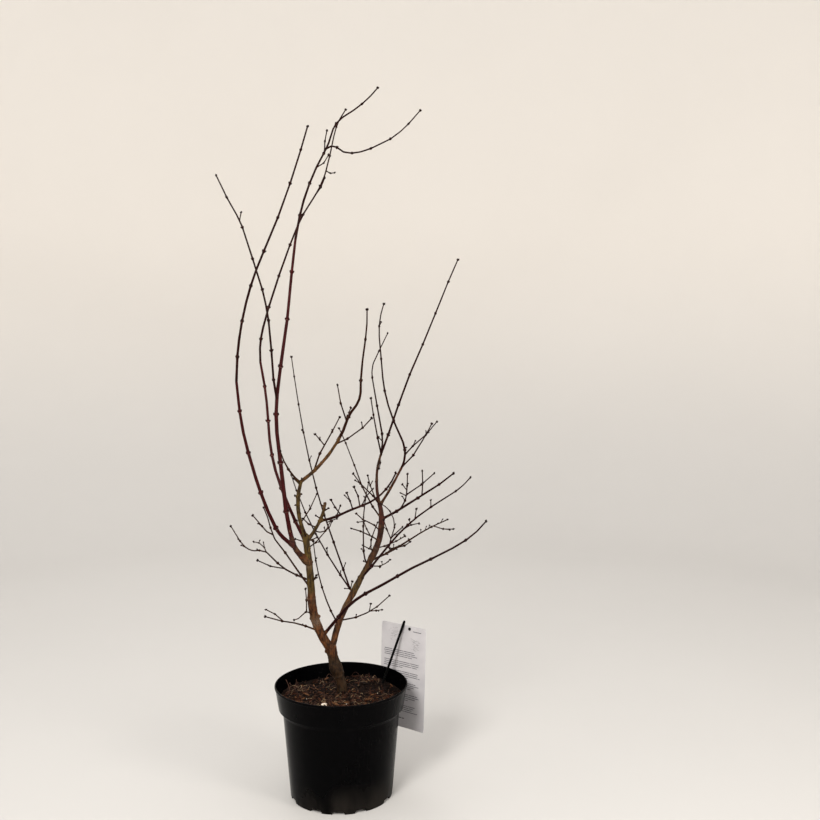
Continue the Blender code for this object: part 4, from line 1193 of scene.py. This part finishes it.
def soil_height(x, y):
    """The compost's top: crumbs on low mounds, the highest of them round the trunk's foot."""
    from_trunk = math.hypot(x - TRUNK_FOOT.x, y - TRUNK_FOOT.y)
    calm = min(max((from_trunk - 10 * MM) / (14 * MM), 0.4), 1)
    mound = sum(
        height * math.exp(-((x / MM - middle_x) ** 2 + (y / MM - middle_y) ** 2) / reach ** 2)
        for middle_x, middle_y, reach, height in SOIL_MOUNDS
    )
    place = Vector((x, y, 0))
    mounds = noise.noise(place * 38) * 0.8 + noise.noise(place * 110) * 0.5
    crumbs = noise.noise(place * 330) * 0.45
    return SOIL_LEVEL + (mound - 2) * MM + SOIL_RELIEF * calm * (mounds * 0.8 + crumbs * 0.6)


def soil_top():
    rings = round(SOIL_RADIUS / SOIL_CELL)
    angles = [math.tau * side / SOIL_SIDES for side in range(SOIL_SIDES)]
    flat = [
        (SOIL_RADIUS * ring / rings * math.cos(angle), SOIL_RADIUS * ring / rings * math.sin(angle))
        for ring in range(rings, 0, -1) for angle in angles
    ]
    low = [(x * 0.975, y * 0.975, SOIL_LEVEL - 10 * MM) for x, y in flat[:SOIL_SIDES]]
    every = np.array(low + [(x, y, soil_height(x, y)) for x, y in [*flat, (0, 0)]])
    last = len(every) - 1
    mass = Mass()
    quads = grid_quads(rings + 1, SOIL_SIDES, closed=True)
    mass.add(every, quads, fan(last, np.arange(last - SOIL_SIDES, last)))
    tones = (0.004, 0.0022, 0.0015), (0.016, 0.007, 0.004)
    look = speckled_look("compost", *tones, 160, 0.92, 0.002, Specular_IOR_Level=0.1)
    mass.piece("compost_top", look, "compost", "soil")


def chip_template():
    """The corners and faces of a twenty-sided ball."""
    ring = [(0.9, 0), (0.28, 0.85), (-0.72, 0.53), (-0.72, -0.53), (0.28, -0.85)]
    low_ring = [(0.72, 0.53), (-0.28, 0.85), (-0.9, 0), (-0.28, -0.85), (0.72, -0.53)]
    points = [(0, 0, 1), *((x, y, 0.45) for x, y in ring), *((x, y, -0.45) for x, y in low_ring), (0, 0, -1)]
    faces = [(0, side, side % 5 + 1) for side in range(1, 6)]
    faces += [(side, side + 5, side % 5 + 1) for side in range(1, 6)]
    faces += [(side + 5, side % 5 + 6, side % 5 + 1) for side in range(1, 6)]
    faces += [(11, side % 5 + 6, side + 5) for side in range(1, 6)]
    return unit(np.array(points, dtype=float)), faces


def chip_places(rule):
    """Where each chip lies, with its length, its width and its kind: mostly dark ones towards the back."""
    weights = [share for share, _, _ in CHIP_KINDS.values()]
    mound_x, mound_y, mound_reach = RUSTY_MOUND
    for _ in range(CHIPS):
        out = (SOIL_RADIUS - 3 * MM) * math.sqrt(rule.random())
        angle = rule.uniform(0, math.tau)
        long = min(rule.lognormvariate(math.log(CHIP_LENGTH), 0.5), LONGEST_CHIP) * MM
        kind = rule.choices(list(CHIP_KINDS), weights)[0]
        x, y = out * math.cos(angle), out * math.sin(angle)
        on_mound = math.hypot(x / MM - mound_x, y / MM - mound_y) < mound_reach
        if rule.random() < min(max((y / MM + 5) / 60, 0), 0.75) and not on_mound:
            kind = "dark"
        slim = 0.6 if kind == "tan" else 1
        yield x, y, long, long * slim * rule.uniform(0.16, 0.46), kind
    for x, y, long, wide in PALE_CHIPS:
        yield x * MM, y * MM, long * MM, wide * MM, "pale"


def bark_chips():
    rule = random.Random(11)
    masses = {kind: Mass() for kind in CHIP_KINDS}
    corners, faces = chip_template()
    for x, y, long, wide, kind in list(chip_places(rule)):
        in_trunk = math.hypot(x - TRUNK_FOOT.x, y - TRUNK_FOOT.y) < 9 * MM + long / 3
        if in_trunk or math.hypot(x, y) > SOIL_RADIUS - long / 2 - 1.5 * MM:
            continue
        thick = min(long * rule.uniform(0.14, 0.34), 2.6 * MM)
        jitter = np.array([[rule.uniform(0.72, 1.22) for _ in range(3)] for _ in corners])
        tilt = turned_by(rule.gauss(0, 0.36), "Y") @ turned_by(rule.gauss(0, 0.6), "X")
        turn = turned_by(rule.uniform(0, math.tau), "Z") @ tilt
        points = corners * jitter * np.array((long, wide, thick)) / 2 @ np.array(turn).T
        height = soil_height(x, y) + (2.8 * MM if kind == "pale" else thick * rule.uniform(0.2, 1.4))
        masses[kind].add(points + np.array((x, y, height)), triangles=faces)
    for kind, (_, colour, other) in CHIP_KINDS.items():
        look = speckled_look("chips_" + kind, colour, other, 300, 0.85, 0.0008, Specular_IOR_Level=0.12)
        masses[kind].piece("bark_chips_" + kind, look, "compost", sharp_degrees=25)


def fibres():
    """Thin roots and straw that lie over the chips, and a few that stand against the pot's wall."""
    rule = random.Random(23)
    pale = Mass()
    brown = Mass()
    for (x, y), reach, count, lengths, highest in FIBRE_CLUSTERS:
        for _ in range(count):
            out = reach * math.sqrt(rule.random())
            angle = rule.uniform(0, math.tau)
            place = Vector((x + out * math.cos(angle), y + out * math.sin(angle), 0)) * MM
            heading = rule.uniform(0, math.tau)
            bend = rule.uniform(-2.4, 2.4)
            long = rule.uniform(*lengths) * MM
            rise = rule.uniform(1, highest) * MM
            line = []
            for share in np.arange(FIBRE_STEPS + 1) / FIBRE_STEPS:
                lift = soil_height(place.x, place.y) + 0.3 * MM + rise * abs(math.sin(math.pi * share)) ** 1.5
                line.append((place.x, place.y, lift))
                way = heading + bend * share
                place += Vector((math.cos(way), math.sin(way), 0)) * long / FIBRE_STEPS
            line = np.array(line)
            from_trunk = np.hypot(line[:, 0] - TRUNK_FOOT.x, line[:, 1] - TRUNK_FOOT.y)
            if np.hypot(line[:, 0], line[:, 1]).max() > SOIL_RADIUS - 2 * MM or from_trunk.min() < 12 * MM:
                continue
            thin = rule.uniform(0.22, 0.5) * MM
            mass = pale if rule.random() < 0.26 else brown
            tube(mass, line, np.linspace(thin, thin * 0.5, FIBRE_STEPS + 1), 5)
    for foot, tip, thick in STRAWS:
        shares = np.linspace(0, 1, 7)[:, None]
        line = (np.array(foot) * (1 - shares) + np.array(tip) * shares) * MM
        line[:, 0] += 2 * MM * np.sin(shares[:, 0] * math.pi)
        tube(brown, line, np.full(7, thick / 2 * MM), 6)
    pale_look = speckled_look("fibre_pale", (0.2, 0.125, 0.065), (0.3, 0.21, 0.12), 300)
    brown_look = speckled_look("fibre_brown", (0.04, 0.014, 0.007), (0.085, 0.034, 0.017), 300)
    pale.piece("fibres_pale", pale_look, "compost")
    brown.piece("fibres_brown", brown_look, "compost")


# ---- Label card and stake ----


def beside_card(shift, inwards, up):
    """A point in the card's own terms: along its width from the pot's radius, inwards from its inner
    face, and up from the rim's height, where the card swings under the rim by CARD_SWING."""
    outward = Vector((math.cos(CARD_AZIMUTH), math.sin(CARD_AZIMUTH), 0))
    along = Vector((outward.y, -outward.x, 0))
    at_rim = outward * CARD_DISTANCE + Vector((0, 0, POT_HEIGHT))
    lean = turned_by(-CARD_SWING, along)
    return at_rim + along * shift + lean @ (Vector((0, 0, up - POT_HEIGHT)) - outward * inwards)


def on_card(across, up, inwards):
    """A point of the bowed card: across and up from its middle, inwards from its inner face."""
    bow = CARD_BOW * ((2 * across / CARD_WIDTH) ** 2 - 0.35)
    return beside_card(CARD_SHIFT + across, inwards + bow, CARD_TOP - CARD_HEIGHT / 2 + up)


def card():
    columns, rows = CARD_CELLS
    points = []
    for face in (0, -CARD_THICKNESS):
        for row in range(rows):
            up = CARD_HEIGHT * (row / (rows - 1) - 0.5)
            from_corner = max(abs(up) - (CARD_HEIGHT / 2 - SHEET_CORNER), 0)
            inset = SHEET_CORNER - math.sqrt(max(SHEET_CORNER ** 2 - from_corner ** 2, 0))
            wide = CARD_WIDTH - 2 * inset
            points += [on_card(wide * (column / (columns - 1) - 0.5), up, face) for column in range(columns)]
    front = grid_quads(rows, columns, closed=False)
    per_face = rows * columns
    bottom = np.arange(columns)
    left = np.arange(rows) * columns
    top = bottom + left[-1]
    right = left + columns - 1
    loop = np.concatenate([bottom, right[1:], top[::-1][1:], left[::-1][1:-1]])
    after = np.roll(loop, -1)
    rim = np.stack([after, loop, loop + per_face, after + per_face], axis=1)
    mass = Mass()
    mass.add(np.array(points), np.vstack([front, front[:, ::-1] + per_face, rim]))
    mass.piece("label_sheet", card_look(), "card", "label_card", sharp_degrees=50)


def mark(mass, left, right, low, rise, high):
    """A thin bar on the card, in millimetres: it runs from left to right and rises on the way."""
    steps = max(2, math.ceil(abs(right - left) / 3))
    corners = []
    for up in (0, high):
        for share in np.arange(steps + 1) / steps:
            across = left + (right - left) * share
            corners.append(on_card(across * MM, (low + rise * share + up) * MM, PRINT_PROUD))
    mass.add(np.array(corners), grid_quads(2, steps + 1, closed=False))


def print_marks():
    """Grey bars in ragged lines, which only suggest print, under two patches of faint strokes."""
    rule = random.Random(3)
    bars = Mass()
    strokes = Mass()
    for top, lines, high in CARD_PARAGRAPHS:
        for line in range(lines):
            up = top - CARD_LINE_PITCH * line
            end = rule.uniform(26, 40) if line < lines - 1 else rule.uniform(-6, 24)
            place = rule.uniform(-46, -44)
            while place < end - 4:
                stop = min(place + rule.uniform(9, 34), end)
                mark(bars, place, stop, up, 0, high)
                place = stop + 1.2
    left, right, up, high = TITLE_BAR
    mark(bars, left, right, up, 0, high)
    for middle, height, wide, tall in STROKE_PATCHES:
        for _ in range(STROKES):
            across = middle + rule.gauss(0, 0.45) * wide
            up = height + rule.gauss(0, 0.45) * tall
            mark(strokes, across, across + rule.uniform(2, 8), up, rule.uniform(-4, 4), 0.5)
    ink = speckled_look("label_ink", (0.06, 0.06, 0.075), (0.11, 0.11, 0.13), 400, 0.6, 0.0001)
    faint = speckled_look("label_faint_ink", (0.25, 0.245, 0.26), (0.36, 0.355, 0.37), 400, 0.6, 0.0001)
    bars.piece("label_bars", ink, "card")
    strokes.piece("label_strokes", faint, "card")


def rivet_and_stake():
    tones = (0.001, 0.001, 0.001), (0.003, 0.003, 0.003)
    black = speckled_look("stake_plastic", *tones, 300, 0.4, 0.0002, Specular_IOR_Level=0.03)
    rivet = Mass()
    line = [beside_card(RIVET_SHIFT, inwards * MM, CARD_TOP - RIVET_BELOW_TOP) for inwards, _ in RIVET_STEPS]
    tube(rivet, line, [RIVET_RADIUS * wide for _, wide in RIVET_STEPS], 28, tip_round=())
    rivet.piece("label_rivet", black, "stake_plastic", sharp_degrees=40)
    edge = beside_card(STAKE_SHIFT, STAKE_CLEAR_OF_CARD, CARD_TOP)
    way = (edge - STAKE_FOOT).normalized()
    shares = np.linspace(0, 1, 24)
    line = [(STAKE_FOOT - way * STAKE_SUNK).lerp(edge + way * STAKE_PAST_TOP, share) for share in shares]
    radii = 1.12 * STAKE_RADIUS * (1 - 0.1 * (1 - shares) + 0.08 * np.exp(-((shares - 0.97) / 0.02) ** 2))
    stake = Mass()
    tube(stake, line, radii, 20)
    stake.piece("stake_rod", black, "stake_plastic", "label_stake")


# ---- Stage ----


def floor_and_sweep():
    """A round pale floor that curves up into a wall all the way round."""
    flat = FLOOR_REACH - SWEEP_RADIUS
    bend = np.radians(90) * np.arange(1, SWEEP_STEPS + 1) / SWEEP_STEPS
    curve = [(flat + SWEEP_RADIUS * math.sin(angle), SWEEP_RADIUS * (1 - math.cos(angle))) for angle in bend]
    profile = [(0.3, 0), (0.8, 0), (flat, 0), *curve, (FLOOR_REACH, SWEEP_TOP)]
    angles = np.arange(STAGE_SIDES) * math.tau / STAGE_SIDES
    rings = [np.stack([r * np.cos(angles), r * np.sin(angles), z + 0 * angles], axis=1) for r, z in profile]
    every = np.vstack(rings + [np.zeros((1, 3))])
    quads = grid_quads(len(rings), STAGE_SIDES, closed=True)
    mass = Mass()
    mass.add(every, quads[:, ::-1], fan(len(every) - 1, np.arange(STAGE_SIDES)))
    made = mass.object("floor")
    made.data.materials.append(stage_look())
    made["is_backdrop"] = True


def area_light(name, place, aim, size, watts, colour):
    data = bpy.data.lights.new(name, "AREA")
    data.shape = "DISK"
    data.size = size
    data.energy = watts
    data.color = colour
    light = placed_object(name, data)
    light.location = place
    light.rotation_euler = (Vector(aim) - Vector(place)).to_track_quat("-Z", "Y").to_euler()


def lights():
    for light in LIGHTS:
        area_light(*light)
    world = bpy.data.worlds.new("pale_room")
    world.use_nodes = True
    background = world.node_tree.nodes["Background"]
    background.inputs["Color"].default_value = ROOM_COLOUR
    background.inputs["Strength"].default_value = ROOM_STRENGTH
    bpy.context.scene.world = world
    bpy.context.scene.view_settings.view_transform = "Standard"


def camera():
    data = bpy.data.cameras.new("camera")
    data.sensor_width = SENSOR
    data.lens = SENSOR * FOCAL_SHARE
    made = placed_object("camera", data)
    made.location = CAMERA_PLACE
    made.rotation_euler = (math.radians(90 - CAMERA_PITCH), 0, 0)
    bpy.context.scene.camera = made


def main():
    add_limbs(LIMB_ROWS)
    side_shoots("spur", "", chance=0.4, lengths=(6, 15), thick=0.7, clear=3)
    add_limbs(SMALL_ROWS)
    side_shoots("shoot", "finer ", chance=0.3, lengths=(4, 9), thick=0.5, clear=1, bushy=BUSHY)
    settle_axes()
    for make in (
        camera, lights, floor_and_sweep, pot, soil_top, bark_chips, fibres, card, print_marks,
        rivet_and_stake, old_wood, twigs_and_buds,
    ):
        make()
    boxes = {"cad": CAD_BOX, "visual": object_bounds()}
    plain = {name: [list(corner) for corner in box] for name, box in boxes.items()}


main()
